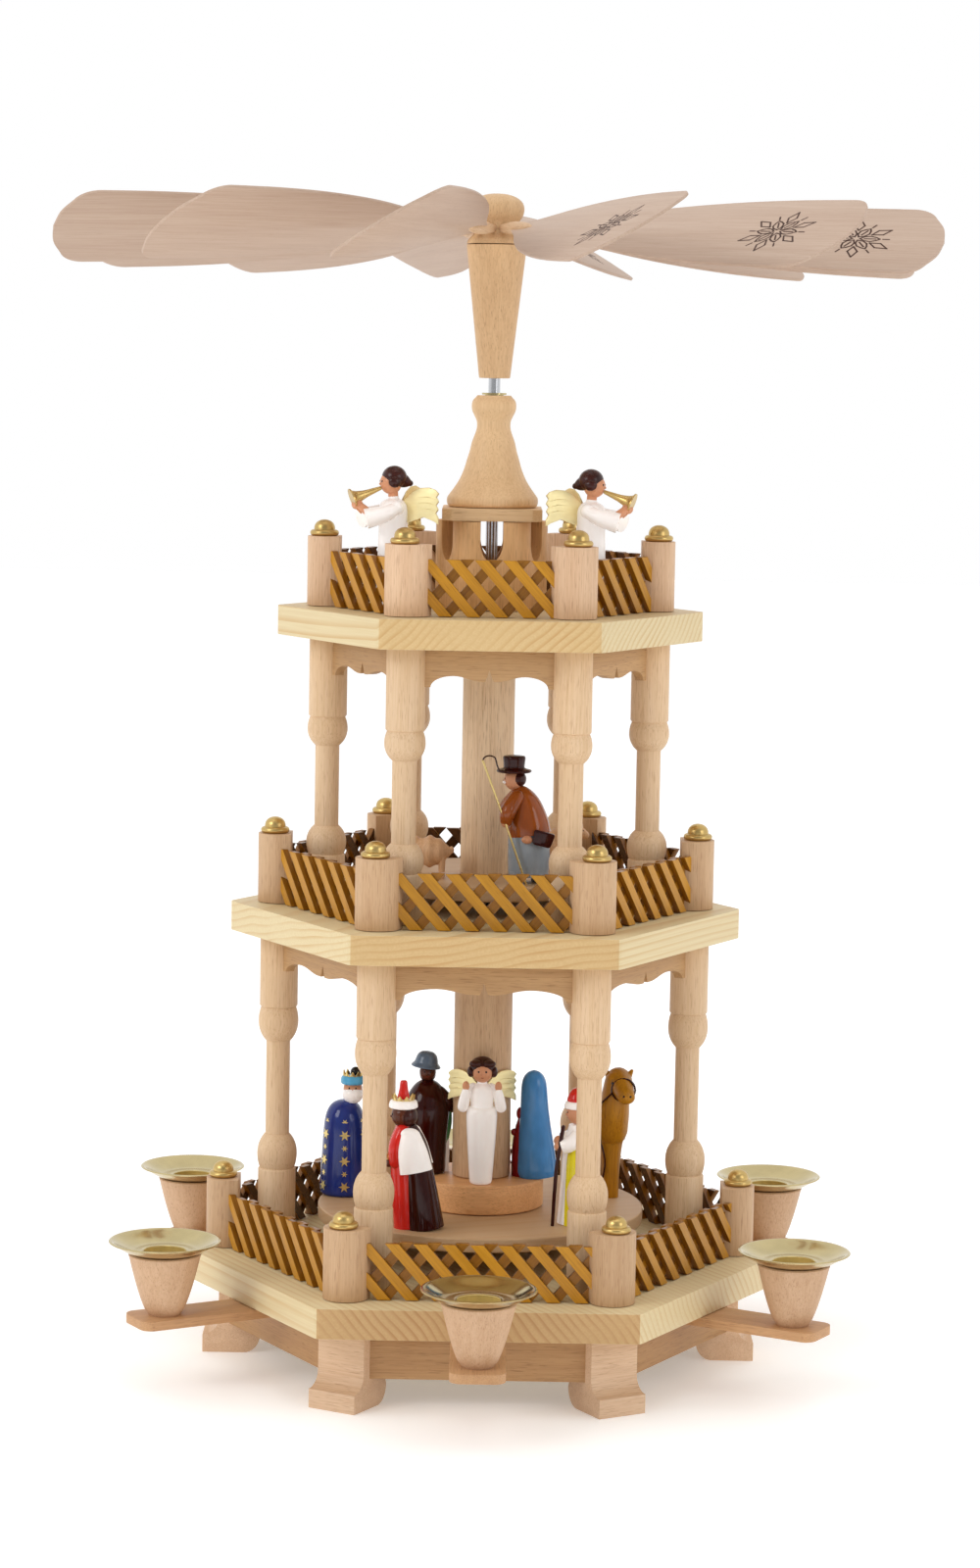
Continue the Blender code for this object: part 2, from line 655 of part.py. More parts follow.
def drip_pan(index, angle):
    """Brass dish with the candle socket drawn down from its middle."""
    under = FOOT_HEIGHT + CUP_HEIGHT
    socket = CANDLE_DIAMETER / 2
    floor = PAN_FLOOR_DIAMETER / 2
    rim = PAN_DIAMETER / 2
    bottom = under - SOCKET_DEPTH
    lip = under + PAN_RISE
    profile = [(0.0, bottom + PAN_SHEET), (socket, bottom + PAN_SHEET), (socket, under + PAN_SHEET)]
    profile += [(floor, under + PAN_SHEET), (rim, lip), (rim, lip - PAN_SHEET), (floor, under)]
    profile += [(socket + PAN_SHEET, under), (socket + PAN_SHEET, bottom), (0.0, bottom)]
    place_at = (CUP_CIRCLE * math.cos(angle), CUP_CIRCLE * math.sin(angle), 0.0)
    finish("drip_pan_%d" % (index + 1), turned(profile, CUP_FACETS), BRASS, place_at)


def turret():
    """Hexagonal drum with six pointed windows, its cornice and the bell roof with the top bush."""
    centre = DRUM_CORNER_RADIUS - DRUM_CORNER_ROUND / math.cos(STEP / 2)
    outline = []
    for i in range(SIDES):
        angle = STEP * i
        middle = (centre * math.cos(angle), centre * math.sin(angle))
        outline += arc(middle, DRUM_CORNER_ROUND, angle - STEP / 2, angle + STEP / 2, 3)
    bore = circle(DRUM_BORE_DIAMETER / 2, 24)
    drum = finish(
        "turret_drum", flat([outline, bore], DRUM_HEIGHT - 2 * FIT), BEECH, (0.0, 0.0, TOP_TOP + FIT))
    half = WINDOW_WIDTH / 2
    shoulder = DRUM_HEIGHT - WINDOW_DEPTH + WINDOW_POINT
    window = [(half, DRUM_HEIGHT + OVERRUN), (-half, DRUM_HEIGHT + OVERRUN)]
    window += [
        (-half * math.cos(angle), shoulder - WINDOW_POINT * math.sin(angle))
        for angle in (0.0, math.pi / 5, math.pi / 3)
    ]
    window.append((0.0, shoulder - WINDOW_POINT))
    window += [
        (half * math.cos(angle), shoulder - WINDOW_POINT * math.sin(angle))
        for angle in (math.pi / 3, math.pi / 5, 0.0)
    ]
    depth = 2 * DRUM_CORNER_RADIUS + OVERRUN
    window_mesh = upright(flat([window], depth), depth)
    for i in range(3):
        hole = window_mesh.copy()
        hole.transform(shift(0.0, 0.0, TOP_TOP) @ turn_z(STEP * i))
        cut(drum, hole, "window_%d" % (i + 1))
    wide = CORNICE_WIDTH / 2
    deep = CORNICE_DEPTH / 2
    short = wide - CORNICE_CORNER_CUT
    near = deep - CORNICE_CORNER_CUT
    cornice = [(wide, -near), (wide, near), (short, deep), (-short, deep)]
    cornice += [(-wide, near), (-wide, -near), (-short, -deep), (short, -deep)]
    rod_hole = circle(BUSH_DIAMETER / 2 + FIT, 12)
    finish(
        "turret_cornice", flat([cornice, rod_hole], CORNICE_THICKNESS), BEECH, (0.0, 0.0, CORNICE_UNDER))
    bore_radius = BUSH_DIAMETER / 2 + FIT
    base = BELL_UNDER + FIT
    height = BELL_TOP - base
    bulb = BELL_BULB_DIAMETER / 2
    skirt = BELL_DIAMETER / 2
    profile = [(bore_radius, base), (bore_radius, BELL_TOP)]
    profile += [(bulb * share, base + height * level) for share, level in BELL_SHARES]
    profile += [(skirt * share, base + height * level) for share, level in BELL_SKIRT_SHARES]
    finish("bell_roof", turned(profile, 16), BEECH)
    flange = BUSH_FLANGE_DIAMETER / 2
    body = BUSH_DIAMETER / 2
    seat = BELL_TOP + FIT
    bush = [(ROD_BORE_RADIUS, seat - BUSH_LENGTH), (ROD_BORE_RADIUS, seat + BUSH_FLANGE_HEIGHT)]
    bush += [(flange, seat + BUSH_FLANGE_HEIGHT), (flange, seat), (body, seat), (body, seat - BUSH_LENGTH)]
    finish("top_bush", turned(bush, ROD_FACETS), BRASS)


def shaft():
    """Rod, the brass cup that its point stands in, and the tables and sleeves that it carries."""
    cup = BEARING_DIAMETER / 2
    top = BASE_TOP + FIT + BEARING_HEIGHT
    dimple = top - BEARING_DIMPLE_DEPTH
    mouth = ROD_BORE_RADIUS + FIT
    profile = [(0.0, dimple - ROD_POINT_LENGTH / 2), (mouth, dimple), (mouth, top)]
    profile += [(cup, top), (cup, BASE_TOP + FIT), (0.0, BASE_TOP + FIT)]
    finish("bearing_cup", turned(profile, ROD_FACETS), BRASS)
    rod = ROD_DIAMETER / 2
    tip = dimple - ROD_POINT_LENGTH / 2 + FIT
    end = HUB_UNDER + HUB_BORE_DEPTH - FIT
    profile = [(0.0, end), (rod, end), (rod, dimple + FIT), (0.0, tip)]
    finish("shaft_rod", turned(profile, ROD_FACETS), STEEL)
    under = LOWER_TABLE_TOP - TABLE_THICKNESS
    disc("lower_turntable", LOWER_TABLE_DIAMETER, under, LOWER_TABLE_TOP, 24, PINE)
    disc("dais", DAIS_DIAMETER, LOWER_TABLE_TOP + FIT, DAIS_TOP, 20, BEECH)
    top = MIDDLE_UNDER - SLEEVE_HEAD_ROOM
    disc("lower_sleeve", LOWER_SLEEVE_DIAMETER, DAIS_TOP + FIT, top, 14, WALNUT_TONE)
    under = MIDDLE_TABLE_TOP - TABLE_THICKNESS
    disc("middle_turntable", MIDDLE_TABLE_DIAMETER, under, MIDDLE_TABLE_TOP, 24, PINE)
    top = TOP_UNDER - SLEEVE_HEAD_ROOM
    disc("middle_sleeve", MIDDLE_SLEEVE_DIAMETER, MIDDLE_TABLE_TOP + FIT, top, 14, WALNUT_TONE)


def disc(name, diameter, under, top, facets, look):
    """A turned disc or sleeve bored for the rod."""
    radius = diameter / 2
    profile = [(ROD_BORE_RADIUS, under), (ROD_BORE_RADIUS, top), (radius, top), (radius, under)]
    finish(name, turned(profile, facets), look)


def blade_turn(index):
    """How a blade's stem lies: round the hub by its number, and a little below level."""
    return Euler((0.0, BLADE_DROOP, BLADE_START + 2 * math.pi * index / BLADE_COUNT))


def hub():
    """Long cone on the rod, and the waisted cap above it that holds the blade stems."""
    bore_end = HUB_UNDER + HUB_BORE_DEPTH
    top = HUB_TOP - FIT
    profile = [(0.0, top), (HUB_TOP_DIAMETER / 2, top), (HUB_FOOT_DIAMETER / 2, HUB_UNDER)]
    profile += [(ROD_BORE_RADIUS, HUB_UNDER), (ROD_BORE_RADIUS, bore_end), (0.0, bore_end)]
    finish("hub_cone", turned(profile, 18), WALNUT_TONE)
    waist = CAP_WAIST_DIAMETER / 2
    flare = HUB_TOP_DIAMETER / 2
    dome = CAP_DOME_WIDTH / 2
    band = STEM_DIAMETER / 2 + FIT
    crown = HUB_CAP_HEIGHT
    rim = BLADE_AXIS_RISE + 1.3 * STEM_DIAMETER
    profile = [(0.0, crown), (dome * 0.45, crown * 0.975), (dome * 0.82, crown * 0.88)]
    profile += [(dome, crown * 0.74)]
    profile += [(dome * 0.95, rim), (waist, BLADE_AXIS_RISE + band), (waist, BLADE_AXIS_RISE - band)]
    profile += [((waist + flare) / 2, BLADE_AXIS_RISE * 0.28), (flare, 0.0), (0.0, 0.0)]
    cap = finish("hub_cap", turned(profile, 16), WALNUT_TONE, (0.0, 0.0, HUB_TOP))
    hole = taper(
        (waist - TENON_LENGTH - FIT, 0.0, 0.0), (flare + OVERRUN, 0.0, 0.0),
        TENON_DIAMETER / 2 + FIT, TENON_DIAMETER / 2 + FIT, 6)
    holes = gather([
        (hole, shift(0.0, 0.0, BLADE_AXIS) @ blade_turn(i).to_matrix().to_4x4())
        for i in range(BLADE_COUNT)])
    cut(cap, holes, "stem_holes")


def blade_outline():
    """Rounded root, straight widening edges, rounded corners and a crowned tip."""
    root = BLADE_ROOT_WIDTH / 2
    tip = BLADE_TIP_WIDTH / 2
    corner = BLADE_CORNER_RADIUS
    square = BLADE_TIP_RADIUS - BLADE_TIP_CROWN
    side = [
        (BLADE_ROOT_RADIUS + root * (1 - math.cos(angle)), root * math.sin(angle))
        for angle in (0.0, math.pi / 4, math.pi / 2)
    ]
    side += arc((square - corner, tip - corner), corner, math.pi / 2, math.pi / 6, 2)
    side.append((BLADE_TIP_RADIUS, 0.0))
    return side + [(x, -y) for x, y in reversed(side[1:-1])]


def blades():
    """Twelve blades, each glued in its slotted stem and set by turning the stem in the hub."""
    waist = CAP_WAIST_DIAMETER / 2
    shoulder = waist + FIT
    stem_end = shoulder + STEM_LENGTH
    profile = [(0.0, stem_end), (STEM_END_DIAMETER / 2, stem_end), (STEM_DIAMETER / 2, shoulder)]
    profile += [(TENON_DIAMETER / 2, shoulder), (TENON_DIAMETER / 2, waist - TENON_LENGTH)]
    profile += [(0.0, waist - TENON_LENGTH)]
    stem = turned(profile, 6)
    stem.transform(Matrix.Rotation(math.pi / 2, 4, "Y"))
    sheet = flat([blade_outline()], BLADE_THICKNESS)
    sheet.transform(shift(0.0, 0.0, -BLADE_THICKNESS / 2))
    blade = combine([sheet, stem])
    for i in range(BLADE_COUNT):
        seat = bpy.data.objects.new("blade_seat_%02d" % (i + 1), None)
        parts.objects.link(seat)
        seat.location = (0.0, 0.0, BLADE_AXIS)
        seat.rotation_euler = blade_turn(i)
        made = finish("blade_%02d" % (i + 1), blade.copy(), BLADE_WOOD)
        made.parent = seat
        made.rotation_euler.x = BLADE_PITCH


def on_disc(shares, diameter):
    """A place on a turntable, as shares of its radius to the right and to the back."""
    return shares[0] * diameter / 2, shares[1] * diameter / 2


def robed(name, look, where, floor, height, width, shares, turn, extras):
    """A turned figure, standing on a board, with its arms and what it carries joined on."""
    profile = [(0.0, height)]
    profile += [(width * share, height * level) for share, level in shares]
    profile.append((0.0, 0.0))
    body = turned(profile, FIGURE_FACETS)
    finish(name, combine([body] + extras), look, (where[0], where[1], floor + FIT), turn)


KING_SHARES = (
    (0.22, 1.0), (0.17, 0.91), (0.27, 0.89), (0.29, 0.83), (0.23, 0.80), (0.21, 0.74), (0.15, 0.70),
    (0.33, 0.66), (0.41, 0.52), (0.50, 0.03), (0.47, 0.0),
)
HAT_SHARES = (
    (0.17, 1.0), (0.25, 0.96), (0.26, 0.90), (0.40, 0.875), (0.39, 0.85), (0.27, 0.84), (0.28, 0.78),
    (0.17, 0.71), (0.34, 0.67), (0.42, 0.54), (0.50, 0.03), (0.47, 0.0),
)
HOOD_SHARES = (
    (0.16, 0.99), (0.28, 0.93), (0.31, 0.84), (0.25, 0.73), (0.35, 0.64), (0.45, 0.42), (0.50, 0.10),
    (0.48, 0.0),
)
ANGEL_SHARES = (
    (0.25, 0.985), (0.42, 0.93), (0.47, 0.85), (0.36, 0.76), (0.19, 0.725), (0.42, 0.69), (0.40, 0.60),
    (0.34, 0.50), (0.50, 0.36), (0.46, 0.15), (0.40, 0.0),
)
CHILD_SHARES = ((0.22, 0.98), (0.32, 0.88), (0.18, 0.76), (0.30, 0.70), (0.50, 0.05), (0.46, 0.0))
WING_SHARES = (
    (-0.02, 0.58), (0.0, 0.70), (0.09, 0.80), (0.22, 0.85), (0.33, 0.82), (0.335, 0.61), (0.21, 0.64),
    (0.08, 0.60),
)
WING_SWEEP = math.radians(39)


def arms(height, width, reach, level):
    """Two arms from the shoulders to hands that meet in front."""
    made = []
    for side in (-1, 1):
        shoulder = (side * width * 0.30, 0.0, height * 0.61)
        hand = (side * width * 0.10, -reach, height * level)
        made.append(taper(shoulder, hand, width * 0.13, width * 0.08, 5))
    return made


def wings(height, setback):
    """A pair of wings that meet behind the figure and sweep back from there."""
    made = []
    for side in (1, -1):
        outline = [(height * side * share, height * level) for share, level in WING_SHARES]
        mesh = upright(flat([outline], WING_THICKNESS), WING_THICKNESS)
        mesh.transform(shift(0.0, setback, 0.0) @ turn_z(side * WING_SWEEP))
        made.append(mesh)
    return made


def kings():
    tall = KING_HEIGHT
    wide = KING_WIDTH
    gift = ball(wide * 0.17, (0.0, -wide * 0.62, tall * 0.47))
    robed(
        "king_blue", BLUE, on_disc(BLUE_KING_SHARES, LOWER_TABLE_DIAMETER), LOWER_TABLE_TOP, tall * 0.94,
        wide, KING_SHARES, 0.0, arms(tall * 0.94, wide, wide * 0.46, 0.52))
    robed(
        "king_red", RED, on_disc(RED_KING_SHARES, LOWER_TABLE_DIAMETER), LOWER_TABLE_TOP, tall * 1.04,
        wide, KING_SHARES, -math.pi / 2, arms(tall, wide, wide * 0.6, 0.47) + [gift])
    grip = (wide * 0.22, -wide * 0.42)
    staff = taper((*grip, 0.0), (*grip, tall * 0.72), STAFF_DIAMETER / 2, STAFF_DIAMETER / 2)
    robed(
        "king_yellow", YELLOW, on_disc(YELLOW_KING_SHARES, LOWER_TABLE_DIAMETER), LOWER_TABLE_TOP,
        tall * 0.98, wide, KING_SHARES, -math.pi / 2, arms(tall, wide, wide * 0.5, 0.5) + [staff])


def dais_group():
    """Joseph, Mary, the angel and the child on the dais."""
    robed(
        "joseph", BROWN, on_disc(JOSEPH_SHARES, DAIS_DIAMETER), DAIS_TOP, JOSEPH_HEIGHT, JOSEPH_WIDTH,
        HAT_SHARES, 0.0, arms(JOSEPH_HEIGHT, JOSEPH_WIDTH, JOSEPH_WIDTH * 0.45, 0.5))
    where = on_disc(MARY_SHARES, DAIS_DIAMETER)
    robed("mary", SKY, where, DAIS_TOP, MARY_HEIGHT, MARY_WIDTH, HOOD_SHARES, 0.0, [])
    tall = DAIS_ANGEL_HEIGHT
    wide = DAIS_ANGEL_WIDTH
    hands = []
    for side in (-1, 1):
        elbow = (side * wide * 0.30, 0.0, tall * 0.63)
        hand = (side * wide * 0.85, -wide * 0.35, tall * 0.74)
        hands.append(taper(elbow, hand, wide * 0.16, wide * 0.10, 5))
    where = on_disc(DAIS_ANGEL_SHARES, DAIS_DIAMETER)
    robed(
        "dais_angel", WHITE, where, DAIS_TOP, tall, wide, ANGEL_SHARES, 0.0,
        hands + wings(tall, wide * 0.10))
    where = on_disc(CHILD_PLACE_SHARES, DAIS_DIAMETER)
    robed("child", RUST, where, DAIS_TOP, CHILD_HEIGHT, CHILD_WIDTH, CHILD_SHARES, 0.0, [])


def camel():
    tall = CAMEL_HEIGHT
    pieces = [
        taper((0.0, 0.0, 0.0), (0.0, 0.0, tall * 0.50), tall * 0.07, tall * 0.12, 8),
        taper((0.0, tall * 0.22, 0.0), (0.0, tall * 0.18, tall * 0.50), tall * 0.06, tall * 0.11, 8),
        ball(tall * 0.17, (0.0, tall * 0.10, tall * 0.57), (0.80, 1.25, 0.85)),
        taper((0.0, tall * 0.11, tall * 0.62), (0.0, tall * 0.13, tall * 0.86), tall * 0.11, tall * 0.03),
        taper((0.0, 0.0, tall * 0.53), (0.0, -tall * 0.08, tall * 0.94), tall * 0.13, tall * 0.075),
        taper((0.0, -tall * 0.06, tall * 0.95), (0.0, -tall * 0.27, tall * 0.86), tall * 0.08, tall * 0.05),
    ]
    where = on_disc(CAMEL_SHARES, LOWER_TABLE_DIAMETER)
    finish("camel", combine(pieces), OCHRE, (*where, LOWER_TABLE_TOP + FIT))


def flock():
    """The shepherd and his sheep on the middle turntable."""
    tall = SHEPHERD_HEIGHT
    wide = SHEPHERD_WIDTH
    foot = (wide * 0.1, -wide * 0.47, 0.0)
    head = (wide * 0.1, -wide * 0.56, tall * 0.62)
    crook = taper(foot, head, STAFF_DIAMETER / 2, STAFF_DIAMETER / 2)
    bag = ball(wide * 0.2, (wide * 0.42, 0.0, tall * 0.42), (0.6, 1.2, 1.2))
    where = on_disc(SHEPHERD_SHARES, MIDDLE_TABLE_DIAMETER)
    robed(
        "shepherd", BROWN, where, MIDDLE_TABLE_TOP, tall, wide, HAT_SHARES, -math.pi / 2,
        arms(tall, wide, wide * 0.5, 0.5) + [crook, bag])
    high = SHEEP_HEIGHT
    for i, (shares, turn) in enumerate(zip(SHEEP_PLACE_SHARES, SHEEP_TURNS)):
        pieces = [ball(high * 0.32, (0.0, 0.0, high * 0.55), (1.5, 1.0, 1.05))]
        pieces.append(ball(high * 0.17, (high * 0.48, 0.0, high * 0.83), (1.35, 0.9, 0.95)))
        pieces += [
            taper((x * high, y * high, 0.0), (x * high, y * high, high * 0.5), high * 0.07, high * 0.09, 5)
            for x in (-0.25, 0.25) for y in (-0.12, 0.12)
        ]
        where = on_disc(shares, MIDDLE_TABLE_DIAMETER)
        finish("sheep_%d" % (i + 1), combine(pieces), OCHRE, (*where, MIDDLE_TABLE_TOP + FIT), turn)


def trumpeters():
    """Two angels with trumpets on the top board."""
    tall = TRUMPETER_HEIGHT
    wide = TRUMPETER_WIDTH
    for i, angle in enumerate(TRUMPETER_ANGLES):
        mouth = Vector((0.0, -wide * 0.35, tall * 0.805))
        run = Vector((0.0, -math.cos(TRUMPET_DIP), -math.sin(TRUMPET_DIP))) * TRUMPET_LENGTH
        flare = mouth + run * 0.7
        bore = TRUMPET_PIPE_DIAMETER / 2
        pipe = taper(mouth, flare, bore, bore)
        bell = taper(flare, mouth + run, bore, TRUMPET_BELL_DIAMETER / 2, 8)
        hands = []
        for side in (-1, 1):
            shoulder = (side * wide * 0.28, 0.0, tall * 0.70)
            cuff = (side * wide * 0.16, -wide, tall * 0.62)
            hand = (side * wide * 0.04, -wide * 1.05, tall * 0.70)
            hands.append(taper(shoulder, cuff, wide * 0.17, wide * 0.26, 6))
            hands.append(taper(cuff, hand, wide * 0.14, wide * 0.12, 5))
        where = (TRUMPETER_CIRCLE * math.cos(angle), TRUMPETER_CIRCLE * math.sin(angle))
        turn = math.copysign(TRUMPETER_TURN, where[0])
        robed(
            "trumpet_angel_%d" % (i + 1), WHITE, where, TOP_TOP, tall, wide * 0.8, ANGEL_SHARES, turn,
            hands + [pipe, bell] + wings(tall, wide * 0.10))


board("base_board", BASE_CORNER_RADIUS, FOOT_HEIGHT, 0.0)
board("middle_board", MIDDLE_CORNER_RADIUS, MIDDLE_UNDER, BOARD_HOLE_DIAMETER)
board("top_board", TOP_CORNER_RADIUS, TOP_UNDER, BOARD_HOLE_DIAMETER)
base_frame()
colonnade(
    "lower_colonnade", BASE_TOP, LOWER_COLUMN_HEIGHT, LOWER_COLUMN_CIRCLE, LOWER_COLUMN_TOP_LENGTH,
    LOWER_COLUMN_FOOT_LENGTH)
colonnade(
    "upper_colonnade", MIDDLE_TOP, UPPER_COLUMN_HEIGHT, UPPER_COLUMN_CIRCLE, UPPER_COLUMN_TOP_LENGTH,
    UPPER_COLUMN_FOOT_LENGTH)
fence("lower_fence", BASE_FENCE_CIRCLE, BASE_TOP)
fence("middle_fence", LOWER_COLUMN_CIRCLE, MIDDLE_TOP)
fence("upper_fence", UPPER_COLUMN_CIRCLE, TOP_TOP)
for number in range(SIDES):
    drip_pan(number, candle_arm(number))
turret()
shaft()
hub()
blades()
kings()
dais_group()
camel()
flock()
trumpeters()
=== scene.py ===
"""The looks of a three-tier candle carousel, made round its fixed frame.

Every piece is built in metres in the frame's own place and rides on the body that carries it. Sizes
come from the frame's boxes, from the named sizes below, or as shares of a figure's height.
"""
import math
import random

import bmesh
import bpy
import numpy as np
from mathutils import Euler, Matrix, Vector


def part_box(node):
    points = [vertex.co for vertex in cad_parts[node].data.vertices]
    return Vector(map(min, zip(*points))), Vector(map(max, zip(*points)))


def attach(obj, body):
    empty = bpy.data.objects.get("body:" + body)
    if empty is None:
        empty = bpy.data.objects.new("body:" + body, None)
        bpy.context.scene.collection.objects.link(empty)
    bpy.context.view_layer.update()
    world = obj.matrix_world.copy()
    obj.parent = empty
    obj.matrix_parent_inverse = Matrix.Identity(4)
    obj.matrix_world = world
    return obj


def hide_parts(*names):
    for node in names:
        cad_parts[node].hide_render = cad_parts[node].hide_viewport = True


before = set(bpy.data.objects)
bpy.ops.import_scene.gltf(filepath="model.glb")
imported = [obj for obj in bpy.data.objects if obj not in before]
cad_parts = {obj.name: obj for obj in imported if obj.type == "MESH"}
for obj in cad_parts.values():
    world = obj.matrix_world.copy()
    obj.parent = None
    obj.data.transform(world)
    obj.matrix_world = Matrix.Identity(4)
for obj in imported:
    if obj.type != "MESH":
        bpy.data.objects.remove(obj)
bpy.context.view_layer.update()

MM = 0.001
SIDES = 6
STEP = 2 * math.pi / SIDES
FIT = 0.3 * MM
EASE = 0.3 * MM
FOOT_EASE = 0.5 * MM
NOTCH_EASE = 0.05 * MM
SLAT_EASE = 0.15 * MM
POST_EASE = 0.4 * MM
ARM_EASE = 0.35 * MM
CUP_LIP = 0.5 * MM
DRUM_EASE = 0.25 * MM
CORNICE_EASE = 0.5 * MM
HUB_EASE = 0.5 * MM
PIVOT_DEPTH = 3.0 * MM
PIVOT_CONE = 1.5 * MM
PIVOT_EASE = 0.6 * MM
FACETS = 56
FINE_FACETS = 80
WIDE_FACETS = 96
SHARP_ANGLE = math.radians(38)

# Heights read from the frame's boxes
FOOT_HEIGHT, BASE_TOP = (corner.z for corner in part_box("base_board"))
MIDDLE_UNDER, MIDDLE_TOP = (corner.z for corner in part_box("middle_board"))
TOP_UNDER, TOP_TOP = (corner.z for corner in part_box("top_board"))
BOARD_THICKNESS = BASE_TOP - FOOT_HEIGHT
HUB_UNDER, HUB_TOP = (corner.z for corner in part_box("hub_cone"))

# Boards, columns and arch boards
BOARD_EASE = 1.5 * MM
BOARD_HOLE_RADIUS = 7.5 * MM
BOARD_CORNER_RADIUS = 4.0 * MM
LOWER_COLUMN_CIRCLE = 88.6 * MM
UPPER_COLUMN_CIRCLE = 69.0 * MM
COLUMN_THICK_RADIUS = 8.15 * MM
COLUMN_THIN_RADIUS = 5.15 * MM
COLUMN_BALL_RADIUS = 8.6 * MM
COLUMN_GROOVE_RADIUS = 7.5 * MM
LOWER_BALL_HEIGHT = 14.8 * MM
UPPER_BALL_HEIGHT = 12.2 * MM
LOWER_HEAD_LENGTH = 32.9 * MM
LOWER_FOOT_LENGTH = 34.2 * MM
UPPER_HEAD_LENGTH = 34.7 * MM
UPPER_FOOT_LENGTH = 21.0 * MM
BALL_WAIST_SHARE = 0.42
COLUMN_LIP = 0.8 * MM
ARCH_THICKNESS = 4.0 * MM
ARCH_SHOULDER = 7.0 * MM
ARCH_END_DEPTH = 16.0 * MM
ARCH_PEAK_DEPTH = 11.2 * MM
ARCH_LOBE_DEPTH = 13.4 * MM
ARCH_NOTCH_HEIGHT = 4.8 * MM
ARCH_NOTCH_WIDTH = 3.4 * MM

# Feet, rails, arms, cups and pans
FOOT_WIDTH = 22.2 * MM
FOOT_FACE_RADIUS = 112.5 * MM
FOOT_NECK_DEPTH = 13.0 * MM
FOOT_TOE_LENGTH = 7.0 * MM
FOOT_TOE_HEIGHT = 8.0 * MM
FOOT_CURVE_HEIGHT = 7.0 * MM
FOOT_HEEL_BULGE = 5.0 * MM
FOOT_SOLE_LENGTH = 18.0 * MM
RAIL_HEIGHT = 20.0 * MM
RAIL_THICKNESS = 8.0 * MM
RAIL_SETBACK = 4.7 * MM
ARM_WIDTH = 22.5 * MM
ARM_THICKNESS = 4.2 * MM
ARM_INNER_RADIUS = 80.0 * MM
ARM_CORNER_RADIUS = 5.0 * MM
ARM_TIP_LENGTH = 14.0 * MM
CUP_CIRCLE = 151.0 * MM
CUP_HEIGHT = 26.1 * MM
CUP_TOP_RADIUS = 15.2 * MM
CUP_FOOT_RADIUS = 6.45 * MM
SOCKET_RADIUS = 8.75 * MM
SOCKET_DEPTH = 15.0 * MM
PAN_SHEET = 0.6 * MM
PAN_RADIUS = 23.4 * MM
PAN_FLOOR_RADIUS = 13.5 * MM
PAN_RISE = 4.9 * MM

# Fences
BASE_FENCE_CIRCLE = 109.5 * MM
POST_RADIUS = 9.5 * MM
POST_BACK_DEPTH = 4.8 * MM
POST_BACK_HALF = 8.9 * MM
POST_HEIGHT = 29.5 * MM
CAP_RING_RADIUS = 6.15 * MM
CAP_DOME_RADIUS = 4.5 * MM
CAP_RING_HEIGHT = 2.7 * MM
CAP_HEIGHT = 7.0 * MM
PANEL_HEIGHT = 23.5 * MM
SLAT_DEPTH = 2.5 * MM
SLAT_WIDTH = 4.2 * MM
SLAT_PITCH = 11.6 * MM
SLAT_LAP = 0.05 * MM
PANEL_LAP = 0.8 * MM
SLAT_ANGLE = math.radians(49)

# Turret
DRUM_CORNER_RADIUS = 25.2 * MM
DRUM_CORNER_ROUND = 9.0 * MM
DRUM_BORE_RADIUS = 17.0 * MM
WINDOW_HALF = 4.8 * MM
WINDOW_DEPTH = 17.0 * MM
WINDOW_POINT = 7.8 * MM
CORNICE_CORNER_CUT = 4.0 * MM
BELL_SHARES = (
    (0.745, 1.0), (0.80, 0.985), (0.93, 0.955), (0.98, 0.915), (0.96, 0.865), (0.85, 0.815), (0.76, 0.775),
    (0.735, 0.735), (0.75, 0.70),
)
BELL_SKIRT_SHARES = (
    (0.40, 0.66), (0.47, 0.58), (0.515, 0.50), (0.57, 0.425), (0.63, 0.34), (0.72, 0.25), (0.83, 0.175),
    (0.935, 0.115), (0.985, 0.085), (1.0, 0.055), (0.99, 0.022), (0.955, 0.0),
)
BELL_BULB_RADIUS = 9.65 * MM
BUSH_RADIUS = 4.0 * MM
BUSH_FLANGE = 0.8 * MM

# Rod, hub and blades
ROD_RADIUS = 2.5 * MM
ROD_POINT = 3.0 * MM
TABLE_EASE = 0.8 * MM
SLEEVE_EASE = 0.4 * MM
HUB_FOOT_RADIUS = 6.6 * MM
HUB_TOP_RADIUS = 12.8 * MM
HUB_BORE_DEPTH = 10.0 * MM
CAP_WAIST_RADIUS = 9.0 * MM
CAP_DOME_HALF = 11.45 * MM
BLADE_AXIS_RISE = 6.8 * MM
BLADE_COUNT = 12
BLADE_START = math.radians(-13.5)
BLADE_DROOP = math.radians(1.2)
BLADE_PITCH = math.radians(30)
BLADE_TIP_RADIUS = 189.6 * MM
BLADE_TIP_HALF = 27.0 * MM
BLADE_TIP_CROWN = 5.0 * MM
BLADE_CORNER_RADIUS = 11.0 * MM
BLADE_THICKNESS = 1.2 * MM
STEM_RADIUS = 2.1 * MM
STEM_LENGTH = 33.0 * MM
STEM_HIDDEN_END = 0.4 * MM
STEM_FIRST_REACH = 6.0 * MM
ROSETTE_RADIUS = 16.0 * MM
ROSETTE_PLACE = 153.0 * MM
STROKE_HEIGHT = 0.06 * MM
STROKE_WIDTH = 0.75 * MM

# Half widths of a blade at places along it, in millimetres
BLADE_SIDE = (
    (27.0, 0.0), (27.6, 1.8), (31.0, 3.4), (40.0, 5.6), (52.0, 9.4), (66.0, 14.0), (84.0, 18.6),
    (104.0, 22.2), (126.0, 24.9), (148.0, 26.4), (166.0, 26.9),
)

